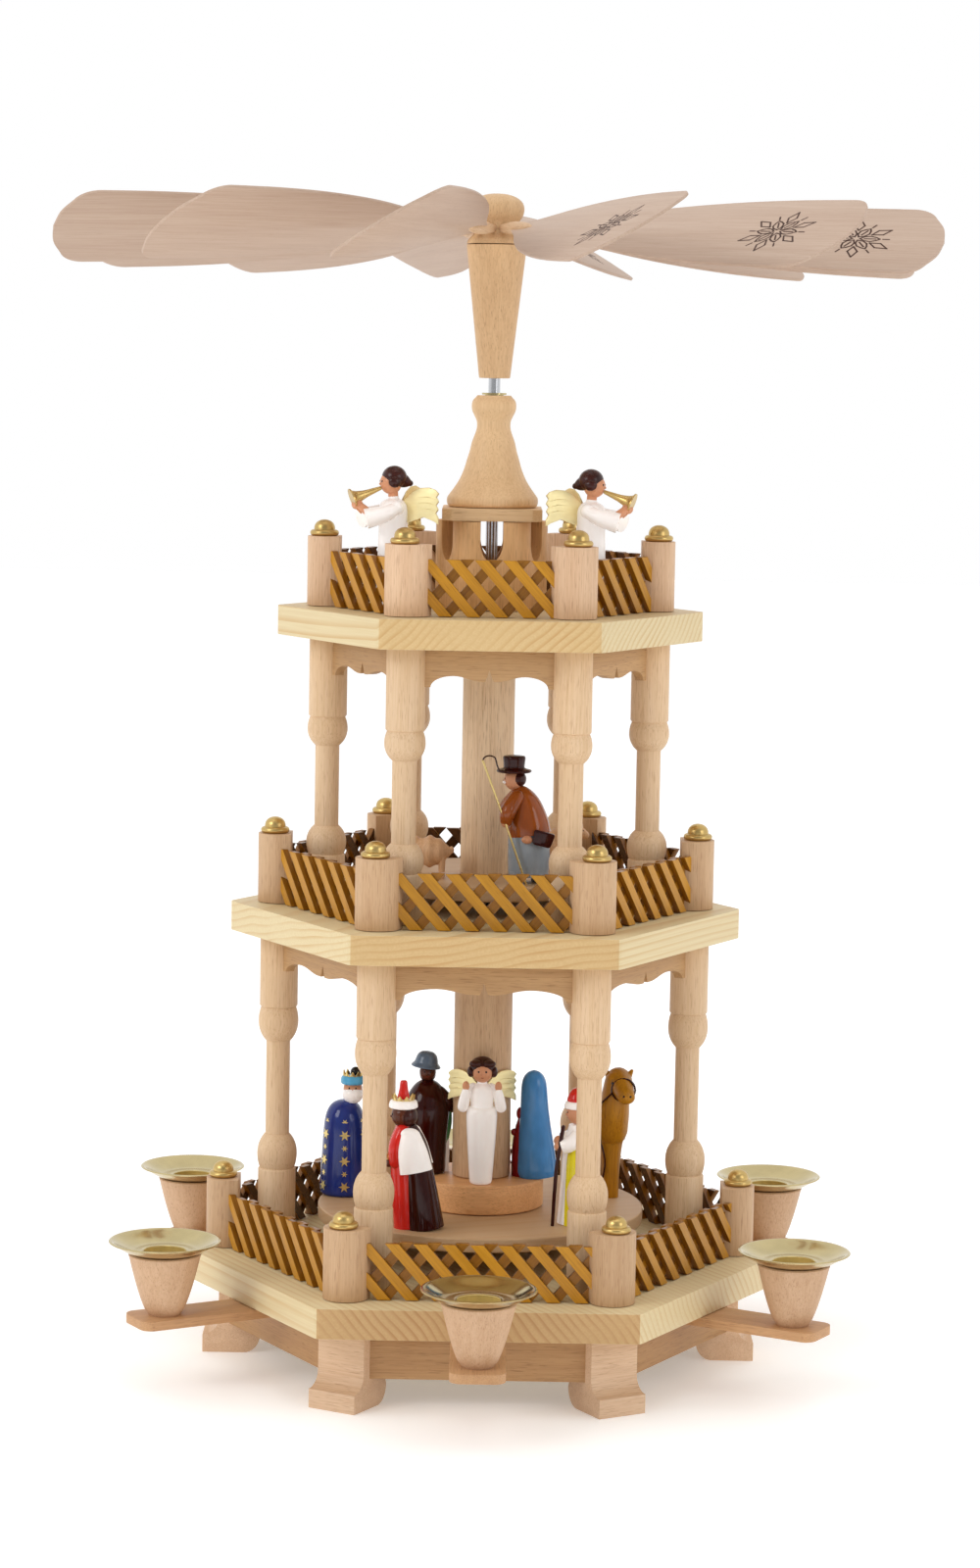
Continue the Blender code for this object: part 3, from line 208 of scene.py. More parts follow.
# Places of the figures, as shares of the radius of the disc that carries them
BLUE_KING_SHARES = (-0.85, 0.21)
RED_KING_SHARES = (-0.34, -0.71)
YELLOW_KING_SHARES = (0.54, -0.51)
CAMEL_SHARES = (0.81, 0.24)
JOSEPH_SHARES = (-0.87, 0.11)
DAIS_ANGEL_SHARES = (0.0, -0.735)
MARY_SHARES = (0.82, -0.07)
CHILD_PLACE_SHARES = (0.33, 0.68)
SHEPHERD_SHARES = (0.26, -0.60)
SHEEP_PLACE_SHARES = ((-0.48, -0.40), (0.60, 0.24))
SHEEP_TURNS = (math.radians(175), math.radians(20))
TRUMPETER_CIRCLE = 48.0 * MM
TRUMPETER_ANGLES = (math.radians(210), math.radians(-30))
TRUMPETER_TURN = math.radians(75)

# Profiles of the figures, as shares of their height
ANGEL_ROBE_SHARES = (
    (0.0, 0.60), (0.075, 0.60), (0.104, 0.588), (0.117, 0.555), (0.118, 0.50), (0.112, 0.38), (0.100, 0.20),
    (0.089, 0.05), (0.084, 0.012), (0.074, 0.0),
)
BODICE_SHARES = (
    (0.0, 0.80), (0.034, 0.798), (0.040, 0.778), (0.070, 0.762), (0.088, 0.735), (0.092, 0.69), (0.086, 0.62),
    (0.092, 0.57), (0.0, 0.565),
)
TRUMPETER_ROBE_SHARES = (
    (0.0, 0.785), (0.034, 0.783), (0.042, 0.765), (0.075, 0.748), (0.098, 0.715), (0.104, 0.66),
    (0.100, 0.56), (0.104, 0.40), (0.110, 0.20), (0.114, 0.02), (0.106, 0.0),
)
JOSEPH_CLOAK_SHARES = (
    (0.0, 0.765), (0.055, 0.755), (0.110, 0.715), (0.160, 0.635), (0.182, 0.54), (0.180, 0.44), (0.166, 0.30),
    (0.158, 0.12), (0.156, 0.02), (0.148, 0.0),
)
BLUE_GOWN_SHARES = (
    (0.0, 0.735), (0.055, 0.728), (0.108, 0.695), (0.143, 0.63), (0.160, 0.54), (0.170, 0.40), (0.180, 0.22),
    (0.187, 0.08), (0.184, 0.02), (0.172, 0.0),
)
HAT_SHARES = (
    (0.0, 1.0), (0.045, 0.994), (0.076, 0.970), (0.090, 0.935), (0.098, 0.905), (0.116, 0.884),
    (0.121, 0.872), (0.110, 0.868), (0.082, 0.878), (0.0, 0.88),
)
SHEPHERD_HAT_SHARES = (
    (0.0, 1.0), (0.060, 0.995), (0.088, 0.982), (0.084, 0.925), (0.086, 0.897), (0.130, 0.884),
    (0.138, 0.872), (0.126, 0.862), (0.085, 0.860), (0.0, 0.858),
)
WING_SHARES = (
    (-0.01, 0.60), (0.0, 0.70), (0.05, 0.765), (0.11, 0.815), (0.18, 0.845), (0.25, 0.85), (0.305, 0.835),
    (0.335, 0.81), (0.316, 0.785), (0.335, 0.755), (0.314, 0.73), (0.333, 0.70), (0.312, 0.675),
    (0.332, 0.645), (0.335, 0.60), (0.295, 0.62), (0.21, 0.645), (0.15, 0.625), (0.08, 0.605),
)
WING_SWEEP = math.radians(39)
CROWN_POINTS = 10
STAR_COLUMNS = 6
STAR_SIZES = (0.044, 0.026)

# How a long robe is swept: steps to a stretch, facets, flattening and whether its ends are round
LONG_ROBE = (5, 40, 1.0, False)

# Camera, in the real object's metres
CAMERA_PLACE = (-1.4 * MM, -1660.4 * MM, 431.1 * MM)
CAMERA_PITCH = -0.1094
CAMERA_YAW = 0.0015
CAMERA_ROLL = 0.0175
CAMERA_LENS = 89.23
SENSOR = 36.0

# Studio
FLOOR_SIZE = 12.0
LIGHTS = (
    ("key", (-1.6, -1.25, 1.3), 1.1, 14.0),
    ("fill", (1.5, -1.4, 0.9), 1.1, 7.0),
    ("top", (0.0, -0.3, 2.2), 1.6, 8.0),
)
FRONT_GLOOM = 0.40
FLOOR_GLOW = 0.22
LIGHT_AIM = (0.0, 0.0, 0.25)
# Faint glow of the white paint, which is painted light
WHITE_GLOW = 0.10
WOOD_SPECULAR = 0.35
PAINT_SPECULAR = 0.22
COAT_ROUGHNESS = 0.06
RELIEF = 0.1 * MM
PAINT_RELIEF = 0.25 * MM

scraps = bpy.data.collections.new("scraps")
bpy.context.scene.collection.children.link(scraps)


def rgb(red, green, blue):
    """A screen colour, 0 to 255, as the linear colour that a shader takes."""
    linear = [((level / 255 + 0.055) / 1.055) ** 2.4 for level in (red, green, blue)]
    return (*linear, 1.0)


def add(tree, kind, links=(), **settings):
    """Add a shader node: small names set its properties, names with a capital set its inputs."""
    made = tree.nodes.new("ShaderNode" + kind)
    for key, value in settings.items():
        if key[0].islower():
            setattr(made, key, value)
        else:
            made.inputs[key].default_value = value
    for socket, source in links:
        tree.links.new(source, made.inputs[socket])
    return made


def new_look(name):
    made = bpy.data.materials.new(name)
    made.use_nodes = True
    return made, made.node_tree, made.node_tree.nodes["Principled BSDF"]


def set_inputs(node, values):
    """Set inputs of a shader node by their names."""
    for key, value in values.items():
        node.inputs[key].default_value = value


def scaled(colour, share):
    """A colour made lighter or darker."""
    return tuple(min(1.0, level * share) for level in colour[:3]) + (1.0,)


def grain_at(tree, scale):
    """The piece's own coordinates, grain along z, stretched by a scale for each axis."""
    attribute = add(tree, "Attribute", attribute_name="grain")
    stretch = add(tree, "VectorMath", [(0, attribute.outputs["Vector"])], operation="MULTIPLY")
    stretch.inputs[1].default_value = scale
    return stretch.outputs[0]


def noise(tree, scale, detail=2.0, distortion=0.0):
    made = add(
        tree, "TexNoise", [("Vector", grain_at(tree, scale))], Scale=1.0, Detail=detail,
        Distortion=distortion)
    return made.outputs["Fac"]


def ramp(tree, source, stops):
    made = add(tree, "ValToRGB", [(0, source)])
    cells = made.color_ramp.elements
    while len(cells) < len(stops):
        cells.new(0.5)
    for cell, (place, colour) in zip(cells, stops):
        cell.position = place
        cell.color = colour
    return made.outputs[0]


def grey(level):
    return (level, level, level, 1.0)


def blend(tree, share, below, above, mode="MIX"):
    made = add(tree, "Mix", data_type="RGBA", blend_type=mode)
    for socket, value in ((0, share), (6, below), (7, above)):
        if isinstance(value, (float, tuple)):
            made.inputs[socket].default_value = value
        else:
            tree.links.new(value, made.inputs[socket])
    return made.outputs[2]


def bump(tree, surface, height, strength, depth):
    made = add(tree, "Bump", [("Height", height)], Strength=strength, Distance=depth)
    tree.links.new(made.outputs[0], surface.inputs["Normal"])


def toned(tree, colour, low, high):
    """Lighten or darken a whole shell by its own tone."""
    attribute = add(tree, "Attribute", attribute_name="tone")
    level = add(
        tree, "MapRange", [("Value", attribute.outputs["Fac"])], **{"To Min": low, "To Max": high})
    made = add(tree, "HueSaturation", [("Color", colour), ("Value", level.outputs[0])])
    return made.outputs[0]


def wood(name, light, dark, pore, roughness=0.48, pore_share=0.60, spread=0.05):
    """Close-grained turned wood: slow colour bands, fine fibres and short dark pores."""
    light, dark, pore = rgb(*light), rgb(*dark), rgb(*pore)
    made, tree, surface = new_look(name)
    bands = noise(tree, (150.0, 150.0, 10.0), 4.0, 0.6)
    fibres = noise(tree, (1500.0, 1500.0, 36.0), 2.0)
    pores = noise(tree, (3200.0, 3200.0, 150.0), 1.0)
    colour = ramp(tree, bands, [(0.32, dark), (0.66, light)])
    colour = blend(tree, 0.55, colour, ramp(tree, fibres, [(0.30, dark), (0.62, light)]))
    mask = ramp(tree, pores, [(pore_share, grey(0.0)), (pore_share + 0.09, grey(0.42))])
    colour = blend(tree, mask, colour, pore)
    tree.links.new(toned(tree, colour, 1.0 - spread, 1.0 + spread), surface.inputs["Base Color"])
    shine = ramp(tree, fibres, [(0.2, grey(roughness - 0.06)), (0.8, grey(roughness + 0.10))])
    tree.links.new(shine, surface.inputs["Roughness"])
    set_inputs(surface, {"Specular IOR Level": WOOD_SPECULAR})
    sunk = ramp(tree, pores, [(pore_share, grey(0.6)), (pore_share + 0.1, grey(0.0))])
    relief = blend(tree, 0.5, fibres, sunk)
    bump(tree, surface, relief, 0.25, RELIEF)
    return made


def pine(name, light, dark, late, spacing=3.0 * MM):
    """Knot-free pine: growth rings stacked along x, wavering, with a sharp dark edge to each."""
    light, dark, late = rgb(*light), rgb(*dark), rgb(*late)
    made, tree, surface = new_look(name)
    attribute = add(tree, "Attribute", attribute_name="grain")
    parts = add(tree, "SeparateXYZ", [(0, attribute.outputs["Vector"])])
    drift = noise(tree, (34.0, 34.0, 5.0), 1.0)
    wave = add(tree, "Math", [(0, parts.outputs[0])], operation="DIVIDE")
    wave.inputs[1].default_value = spacing
    sway = add(tree, "Math", [(0, drift), (2, wave.outputs[0])], operation="MULTIPLY_ADD")
    sway.inputs[1].default_value = 2.4
    ring = add(tree, "Math", [(0, sway.outputs[0])], operation="FRACT")
    stops = [(0.0, light), (0.50, light), (0.86, late), (0.97, late), (1.0, light)]
    colour = ramp(tree, ring.outputs[0], stops)
    fibres = noise(tree, (1300.0, 1300.0, 30.0), 2.0)
    slow = noise(tree, (45.0, 45.0, 7.0), 3.0)
    strength = ramp(tree, slow, [(0.30, grey(0.15)), (0.75, grey(0.70))])
    colour = blend(tree, strength, light, colour)
    colour = blend(tree, ramp(tree, fibres, [(0.35, grey(0.30)), (0.65, grey(0.0))]), colour, dark)
    tree.links.new(toned(tree, colour, 0.98, 1.03), surface.inputs["Base Color"])
    tree.links.new(ramp(tree, fibres, [(0.2, grey(0.42)), (0.8, grey(0.55))]), surface.inputs["Roughness"])
    set_inputs(surface, {"Specular IOR Level": WOOD_SPECULAR})
    bump(tree, surface, fibres, 0.25, RELIEF)
    return made


def lacquer(name, colour, roughness=0.10, waver=0.06, coat=0.35):
    """Glossy brushed-on paint over wood: nearly even colour, with the soft waver of a thick coat."""
    colour = rgb(*colour)
    made, tree, surface = new_look(name)
    slow = noise(tree, (260.0, 260.0, 120.0), 3.0)
    stops = [(0.3, scaled(colour, 1 - waver * 2)), (0.7, scaled(colour, 1 + waver))]
    tree.links.new(ramp(tree, slow, stops), surface.inputs["Base Color"])
    dabs = noise(tree, (700.0, 700.0, 250.0), 2.0)
    shine = ramp(tree, dabs, [(0.3, grey(roughness)), (0.8, grey(roughness + 0.10))])
    tree.links.new(shine, surface.inputs["Roughness"])
    set_inputs(surface, {
        "Specular IOR Level": PAINT_SPECULAR, "Coat Weight": coat, "Coat Roughness": COAT_ROUGHNESS})
    bump(tree, surface, dabs, 0.22, PAINT_RELIEF)
    return made


def metal(name, colour, roughness, spread=0.05, stretch=(900.0, 900.0, 900.0), relief=0.05):
    """Polished or satin metal with fine marks in its sheen."""
    colour = rgb(*colour)
    made, tree, surface = new_look(name)
    marks = noise(tree, stretch, 3.0)
    slow = noise(tree, (120.0, 120.0, 120.0), 2.0)
    stops = [(0.35, scaled(colour, 0.90)), (0.65, colour)]
    tree.links.new(ramp(tree, slow, stops), surface.inputs["Base Color"])
    shine = ramp(tree, marks, [(0.3, grey(roughness)), (0.75, grey(roughness + spread))])
    tree.links.new(shine, surface.inputs["Roughness"])
    surface.inputs["Metallic"].default_value = 1.0
    bump(tree, surface, marks, relief, RELIEF)
    return made


# Looks, from screen colours
PINE = pine("pine", (221, 203, 161), (204, 176, 126), (197, 154, 94))
# The edge looks are darker copies of the pine for the boards' front and back edge faces: painted shade,
# darkest on the base board
TOP_EDGE_PAINTED_SHADE = pine("top_edge_painted_shade", (215, 185, 134), (198, 160, 104), (191, 140, 77))
MIDDLE_EDGE_PAINTED_SHADE = pine("middle_edge_painted_shade", (208, 177, 127), (192, 153, 98), (184, 134, 73))
BASE_EDGE_PAINTED_SHADE = pine("base_edge_painted_shade", (198, 163, 115), (183, 141, 89), (160, 104, 52))
TABLE_PINE = pine("table_pine", (200, 165, 126), (182, 142, 98), (190, 147, 105))
BEECH = wood("beech", (224, 190, 156), (207, 168, 132), (150, 98, 66))
FOOT_WOOD = wood("foot_wood", (230, 198, 166), (212, 175, 140), (154, 103, 70))
CUP_WOOD = wood("cup_wood", (211, 175, 141), (195, 155, 118), (142, 90, 58))
POST_WOOD = wood("post_wood", (205, 171, 134), (189, 151, 113), (137, 88, 56))
COLUMN_WOOD = wood("column_wood", (226, 195, 159), (211, 176, 134), (161, 109, 72))
RAIL_WOOD = wood("rail_wood", (185, 145, 101), (166, 124, 82), (113, 71, 42))
ARM_WOOD = wood("arm_wood", (205, 160, 116), (184, 137, 95), (125, 80, 50))
ARCH_WOOD = wood("arch_wood", (190, 151, 106), (169, 129, 86), (117, 74, 43))
SLEEVE_WOOD = wood("sleeve_wood", (212, 178, 141), (190, 151, 112), (132, 89, 59), 0.48, 0.58)
UPPER_SLEEVE_WOOD = wood("upper_sleeve_wood", (242, 215, 180), (217, 183, 144), (151, 109, 78), 0.48, 0.58)
DAIS_WOOD = wood("dais_wood", (252, 196, 136), (222, 159, 104), (162, 104, 62), 0.36)
HUB_WOOD = wood("hub_wood", (217, 181, 137), (200, 161, 117), (141, 95, 60))
DRUM_WOOD = wood("drum_wood", (239, 191, 135), (219, 170, 115), (155, 101, 59))
BELL_WOOD = wood("bell_wood", (237, 202, 156), (219, 180, 133), (156, 108, 69), pore_share=0.63)
BLADE_WOOD = wood("blade_wood", (194, 170, 151), (178, 150, 130), (158, 122, 99), 0.52, 0.66, 0.03)
SHEEP_WOOD = wood("sheep_wood", (220, 178, 136), (198, 152, 110), (150, 104, 70))
CAMEL_WOOD = wood("camel_wood", (191, 131, 19), (161, 103, 8), (107, 60, 0), 0.34)
# The slat looks copy one mustard stain: the back layer's face is darker and the slat sides darker still, both
# painted shade; the inward faces take a dark brown
SLAT_FACE = wood("slat_face", (195, 138, 30), (170, 116, 18), (131, 80, 9), 0.34, 0.62, 0.08)
SLAT_SHADE = wood("slat_shade", (163, 108, 18), (137, 86, 11), (97, 55, 3), 0.32, 0.62, 0.08)
SLAT_SIDE_PAINTED_SHADE = wood("slat_side_painted_shade", (150, 97, 16), (121, 74, 9), (81, 45, 2), 0.30, 0.62, 0.10)
SLAT_BACK = wood("slat_back", (91, 56, 22), (64, 37, 14), (38, 20, 7), 0.20, 0.62, 0.10)
BRASS = metal("brass", (201, 184, 137), 0.13, 0.06, (500.0, 500.0, 2400.0))
GILT = metal("gilt", (206, 176, 112), 0.30, 0.10)
GOLD_LEAF = metal("gold_leaf", (232, 208, 140), 0.26, 0.10)
WING_LEAF = metal("wing_leaf", (244, 230, 178), 0.46, 0.12)
STEEL = metal("steel", (206, 208, 212), 0.14, 0.05, (2400.0, 2400.0, 300.0))
SKIN = lacquer("skin_paint", (214, 150, 112), 0.30, 0.05, 0.1)
DARK_SKIN = lacquer("dark_skin_paint", (89, 43, 25), 0.25, 0.05, 0.2)
HAIR = lacquer("hair_paint", (61, 23, 17), 0.28, 0.20, 0.2)
WHITE = lacquer("white_paint", (252, 248, 245), 0.16, 0.02, 0.5)
# The white paint glows faintly: painted light that brightens everything painted white
set_inputs(
    WHITE.node_tree.nodes["Principled BSDF"],
    {"Emission Color": rgb(255, 240, 230), "Emission Strength": WHITE_GLOW})
NAVY = lacquer("navy_paint", (35, 53, 131))
SKY = lacquer("sky_paint", (71, 138, 200))
TURBAN_BLUE = lacquer("turban_paint", (92, 180, 226))
RED = lacquer("red_paint", (214, 38, 30))
WINE = lacquer("wine_paint", (140, 22, 26))
YELLOW = lacquer("yellow_paint", (240, 224, 36))
BROWN = lacquer("brown_paint", (53, 11, 5), 0.08, 0.06, 0.12)
RUST = lacquer("rust_paint", (150, 74, 22))
SLATE = lacquer("slate_paint", (149, 158, 166))
HAT_GREY = lacquer("hat_paint", (92, 108, 128), 0.22)
GREEN = lacquer("green_paint", (96, 172, 116))
BLACK = lacquer("black_paint", (24, 18, 18))
BURNT = lacquer("burnt_line", (74, 46, 34), 0.5, 0.10, 0.0)
# A flat gold paint, not metal, for the inside of each pan's socket: a painted reflection of the brass's
# bright inner wall
SOCKET_PAINTED_GLEAM = lacquer("socket_brass", (206, 178, 104), 0.34, 0.08, 0.2)


def drop(source):
    """Turn an object, with its modifiers, into a plain mesh and remove the object."""
    bpy.context.view_layer.update()
    graph = bpy.context.evaluated_depsgraph_get()
    mesh = bpy.data.meshes.new_from_object(source.evaluated_get(graph))
    mesh.transform(source.matrix_world)
    bpy.data.objects.remove(source, do_unlink=True)
    return mesh


def put(data):
    made = bpy.data.objects.new("scrap", data)
    scraps.objects.link(made)
    return made


def eased_edges(mesh, width, segments=2, angle=30):
    """Round the sharp edges of a mesh a little."""
    made = put(mesh)
    bevel = made.modifiers.new("Bevel", "BEVEL")
    bevel.width = width
    bevel.segments = segments
    bevel.limit_method = "ANGLE"
    bevel.angle_limit = math.radians(angle)
    return drop(made)


def lathe(profile, facets=FACETS):
    """Turn a profile round z; it runs up the bore, then down the outer side."""
    mesh = bpy.data.meshes.new("profile")
    points = [(radius, 0.0, height) for radius, height in profile]
    edges = [(i, i + 1) for i in range(len(points) - 1)]
    if profile[0][0] > 0:
        edges.append((len(points) - 1, 0))
    mesh.from_pydata(points, edges, [])
    made = put(mesh)
    screw = made.modifiers.new("Screw", "SCREW")
    screw.axis = "Z"
    screw.angle = 2 * math.pi
    screw.steps = facets
    screw.render_steps = facets
    screw.use_merge_vertices = True
    screw.merge_threshold = 0.00001 * min(1.0, 1000 * max(radius for radius, _ in profile))
    return drop(made)


def rounded(points, radius, count=3, closed=False):
    """Replace each corner of a run of points with a short curve."""
    made = []
    size = len(points)
    for i, point in enumerate(points):
        if not closed and i in (0, size - 1):
            made.append(tuple(point))
            continue
        here = Vector(point)
        before = Vector(points[i - 1]) - here
        after = Vector(points[(i + 1) % size]) - here
        start = here + before.normalized() * min(radius, before.length * 0.45)
        end = here + after.normalized() * min(radius, after.length * 0.45)
        for j in range(count + 1):
            t = j / count
            made.append(tuple(start * (1 - t) ** 2 + here * 2 * t * (1 - t) + end * t ** 2))
    return made


def curved(points, per=4):
    """A smooth curve through the points of a profile or a path."""
    knots = [Vector(point) for point in points]
    knots = [knots[0] * 2 - knots[1]] + knots + [knots[-1] * 2 - knots[-2]]
    made = []
    for i in range(1, len(knots) - 2):
        a, b, c, d = knots[i - 1:i + 3]
        for j in range(per):
            t = j / per
            made.append(tuple(
                (b * 2 + (c - a) * t + (a * 2 - b * 5 + c * 4 - d) * t ** 2
                 + (b * 3 - a - c * 3 + d) * t ** 3) / 2))
    return made + [tuple(knots[-2])]


def flat(outlines, thickness, ease=0.0, segments=2):
    """Extrude flat outlines from z = 0 up; an outline inside another one is a hole."""
    curve = bpy.data.curves.new("outline", "CURVE")
    curve.dimensions = "2D"
    curve.fill_mode = "BOTH"
    curve.extrude = thickness / 2
    for outline in outlines:
        spline = curve.splines.new("POLY")
        spline.points.add(len(outline) - 1)
        for point, (x, y) in zip(spline.points, outline):
            point.co = (x, y, 0.0, 1.0)
        spline.use_cyclic_u = True
    made = put(curve)
    made.location.z = thickness / 2
    mesh = drop(made)
    shape = bmesh.new()
    shape.from_mesh(mesh)
    bmesh.ops.remove_doubles(shape, verts=shape.verts, dist=thickness * 0.001)
    bmesh.ops.recalc_face_normals(shape, faces=shape.faces)
    shape.to_mesh(mesh)
    shape.free()
    return eased_edges(mesh, ease, segments) if ease else mesh


def upright(mesh, thickness):
    """Stand a flat piece up: its outline's y becomes z, centred on y = 0."""
    mesh.transform(shift(0.0, thickness / 2, 0.0) @ Matrix.Rotation(math.pi / 2, 4, "X"))
    return mesh


def bar(size, centre, ease):
    """A rectangular bar with eased edges."""
    shape = bmesh.new()
    bmesh.ops.create_cube(shape, size=1.0)
    mesh = mesh_of(shape, "bar")
    mesh.transform(shift(*centre) @ Matrix.Diagonal((*size, 1.0)))
    return eased_edges(mesh, ease)


def blob(centre, radii, turn=(0.0, 0.0, 0.0)):
    """A smooth ellipsoid."""
    shape = bmesh.new()
    bmesh.ops.create_uvsphere(shape, u_segments=24, v_segments=14, radius=1.0)
    mesh = mesh_of(shape, "blob")
    size = radii if isinstance(radii, tuple) else (radii, radii, radii)
    mesh.transform(shift(*centre) @ Euler(turn).to_matrix().to_4x4() @ Matrix.Diagonal((*size, 1.0)))
    return mesh


def limb(path, radii, per=3, facets=18, flatten=1.0, round_ends=True):
    """A round bar along a path, with a radius at each of the path's points and rounded ends."""
    points = curved(path, per)
    sizes = [radius for radius, _ in curved([(radius, 0.0) for radius in radii], per)]
    lines = [Vector(point) for point in points]
    rings = []
    for i, point in enumerate(lines):
        run = lines[min(i + 1, len(lines) - 1)] - lines[max(i - 1, 0)]
        rings.append((point, run.normalized(), sizes[i]))
    if round_ends:
        first, last = rings[0], rings[-1]
        for angle in (0.45, 0.9, 1.3):
            drop_back = math.sin(angle)
            narrow = math.cos(angle)
            rings.insert(0, (first[0] - first[1] * first[2] * drop_back, first[1], first[2] * narrow))
            rings.append((last[0] + last[1] * last[2] * drop_back, last[1], last[2] * narrow))
    shape = bmesh.new()
    loops = []
    side = Vector((1.0, 0.0, 0.0))
    for point, run, size in rings:
        across = side - run * side.dot(run)
        if across.length < 0.1:
            across = Vector((0.0, 1.0, 0.0)) - run * run.y
        across.normalize()
        up = run.cross(across)
        loops.append([
            shape.verts.new(point + (across * math.cos(a) + up * math.sin(a) * flatten) * size)
            for a in (2 * math.pi * k / facets for k in range(facets))])
    for low, high in zip(loops, loops[1:]):
        for k in range(facets):
            shape.faces.new((low[k], low[(k + 1) % facets], high[(k + 1) % facets], high[k]))
    shape.faces.new(list(reversed(loops[0])))
    shape.faces.new(loops[-1])
    bmesh.ops.recalc_face_normals(shape, faces=shape.faces)
    return mesh_of(shape, "limb")


def carve(mesh, cutters):
    """Cut other meshes out of a mesh."""
    base = put(mesh)
    tools = [put(cutter) for cutter in cutters]
    for tool in tools:
        boolean = base.modifiers.new("Boolean", "BOOLEAN")
        boolean.operation = "DIFFERENCE"
        boolean.solver = "EXACT"
        boolean.object = tool
    made = drop(base)
    for tool in tools:
        bpy.data.objects.remove(tool, do_unlink=True)
    return made


def mesh_of(shape, name):
    """Turn a bmesh into a mesh and free it."""
    mesh = bpy.data.meshes.new(name)
    shape.to_mesh(mesh)
    shape.free()
    return mesh


def linked(name, data):
    """Add an object to the scene."""
    made = bpy.data.objects.new(name, data)
    bpy.context.scene.collection.objects.link(made)
    return made


def placed(mesh, matrix):
    mesh.transform(matrix)
    return mesh


def turned_point(point, angle):
    return (
        point[0] * math.cos(angle) - point[1] * math.sin(angle),
        point[0] * math.sin(angle) + point[1] * math.cos(angle),
    )


def angles(total, steps, first, last):
    """Some of the angles that split a turn into equal steps."""
    return [total * i / steps for i in range(first, last + 1)]


def turn_z(angle):
    return Matrix.Rotation(angle, 4, "Z")


def shift(x, y, z):
    return Matrix.Translation(Vector((x, y, z)))


def circle(radius, count):
    return [
        (radius * math.cos(2 * math.pi * i / count), radius * math.sin(2 * math.pi * i / count))
        for i in range(count)
    ]


def arc(centre, radius, start, end, count):
    return [
        (centre[0] + radius * math.cos(start + (end - start) * i / count),
         centre[1] + radius * math.sin(start + (end - start) * i / count))
        for i in range(count + 1)
    ]


def piece(name, body, nodes, shells):
    """Join shells into one piece. A shell is a mesh, its look, and then its place and grain turn."""
    dice = random.Random(name)
    points, grains, tones, corners, starts, indices = [], [], [], [], [], []
    looks = []
    point_total = corner_total = 0
    for entry in shells:
        mesh, look = entry[:2]
        matrix = entry[2] if len(entry) > 2 else Matrix.Identity(4)
        grain_turn = entry[3] if len(entry) > 3 else Matrix.Identity(3)
        look = look if isinstance(look, tuple) else (look,)
        slots = []
        for wanted in look:
            if wanted not in looks:
                looks.append(wanted)
            slots.append(looks.index(wanted))
        count = len(mesh.vertices)
        local = np.empty(count * 3)
        mesh.vertices.foreach_get("co", local)
        local = local.reshape(-1, 3)
        turn = np.array(matrix.to_3x3())
        points.append(local @ turn.T + np.array(matrix.translation))
        size = matrix.to_scale()[0]
        shifted = np.array([dice.uniform(-0.4, 0.4) for _ in range(3)])
        grains.append(local @ np.array(grain_turn).T * size + shifted)
        tones.append(np.full(count, dice.random()))
        loops = np.empty(len(mesh.loops), dtype=np.int32)
        mesh.loops.foreach_get("vertex_index", loops)
        first = np.empty(len(mesh.polygons), dtype=np.int32)
        mesh.polygons.foreach_get("loop_start", first)
        index = np.empty(len(mesh.polygons), dtype=np.int32)
        mesh.polygons.foreach_get("material_index", index)
        corners.append(loops + point_total)
        starts.append(first + corner_total)
        indices.append(np.array(slots)[np.minimum(index, len(slots) - 1)])
        point_total += count
        corner_total += len(loops)
    joined = bpy.data.meshes.new(name)
    joined.vertices.add(point_total)
    joined.vertices.foreach_set("co", np.concatenate(points).ravel())
    joined.loops.add(corner_total)
    joined.loops.foreach_set("vertex_index", np.concatenate(corners))
    joined.polygons.add(sum(len(part) for part in starts))
    joined.polygons.foreach_set("loop_start", np.concatenate(starts))
    joined.polygons.foreach_set("material_index", np.concatenate(indices))
    for look in looks:
        joined.materials.append(look)
    joined.attributes.new("grain", "FLOAT_VECTOR", "POINT").data.foreach_set(
        "vector", np.concatenate(grains).ravel())
    joined.attributes.new("tone", "FLOAT", "POINT").data.foreach_set("value", np.concatenate(tones))
    joined.update(calc_edges=True)
    joined.validate()
    joined.shade_smooth()
    joined.set_sharp_from_angle(angle=SHARP_ANGLE)
    made = linked(name, joined)
    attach(made, body)
    if nodes:
        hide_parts(*nodes)
    return made


LIE_ALONG_X = Matrix(((0, 0, 1), (0, 1, 0), (1, 0, 0)))
LIE_ALONG_Y = Matrix(((1, 0, 0), (0, 0, 1), (0, 1, 0)))


def pine_turn(heading, lean):
    """Lay pine's fibres level at a heading, with its growth rings leaning out of the level."""
    fibre = Vector((math.cos(heading), math.sin(heading), 0.0))
    flat_way = Vector((-math.sin(heading), math.cos(heading), 0.0))
    ring = flat_way * math.cos(lean) + Vector((0.0, 0.0, math.sin(lean)))
    return Matrix((ring, fibre.cross(ring), fibre))


def hexagon(radius, corner):
    """A hexagon with a corner on the x axis, each corner rounded."""
    middle = radius - corner / math.sin(math.radians(60))
    made = []
    for i in range(SIDES):
        centre = turned_point((middle, 0.0), STEP * i)
        for lean in (-30, -15, 0, 15, 30):
            reach = turned_point((corner, 0.0), STEP * i + math.radians(lean))
            made.append((centre[0] + reach[0], centre[1] + reach[1]))
    return made


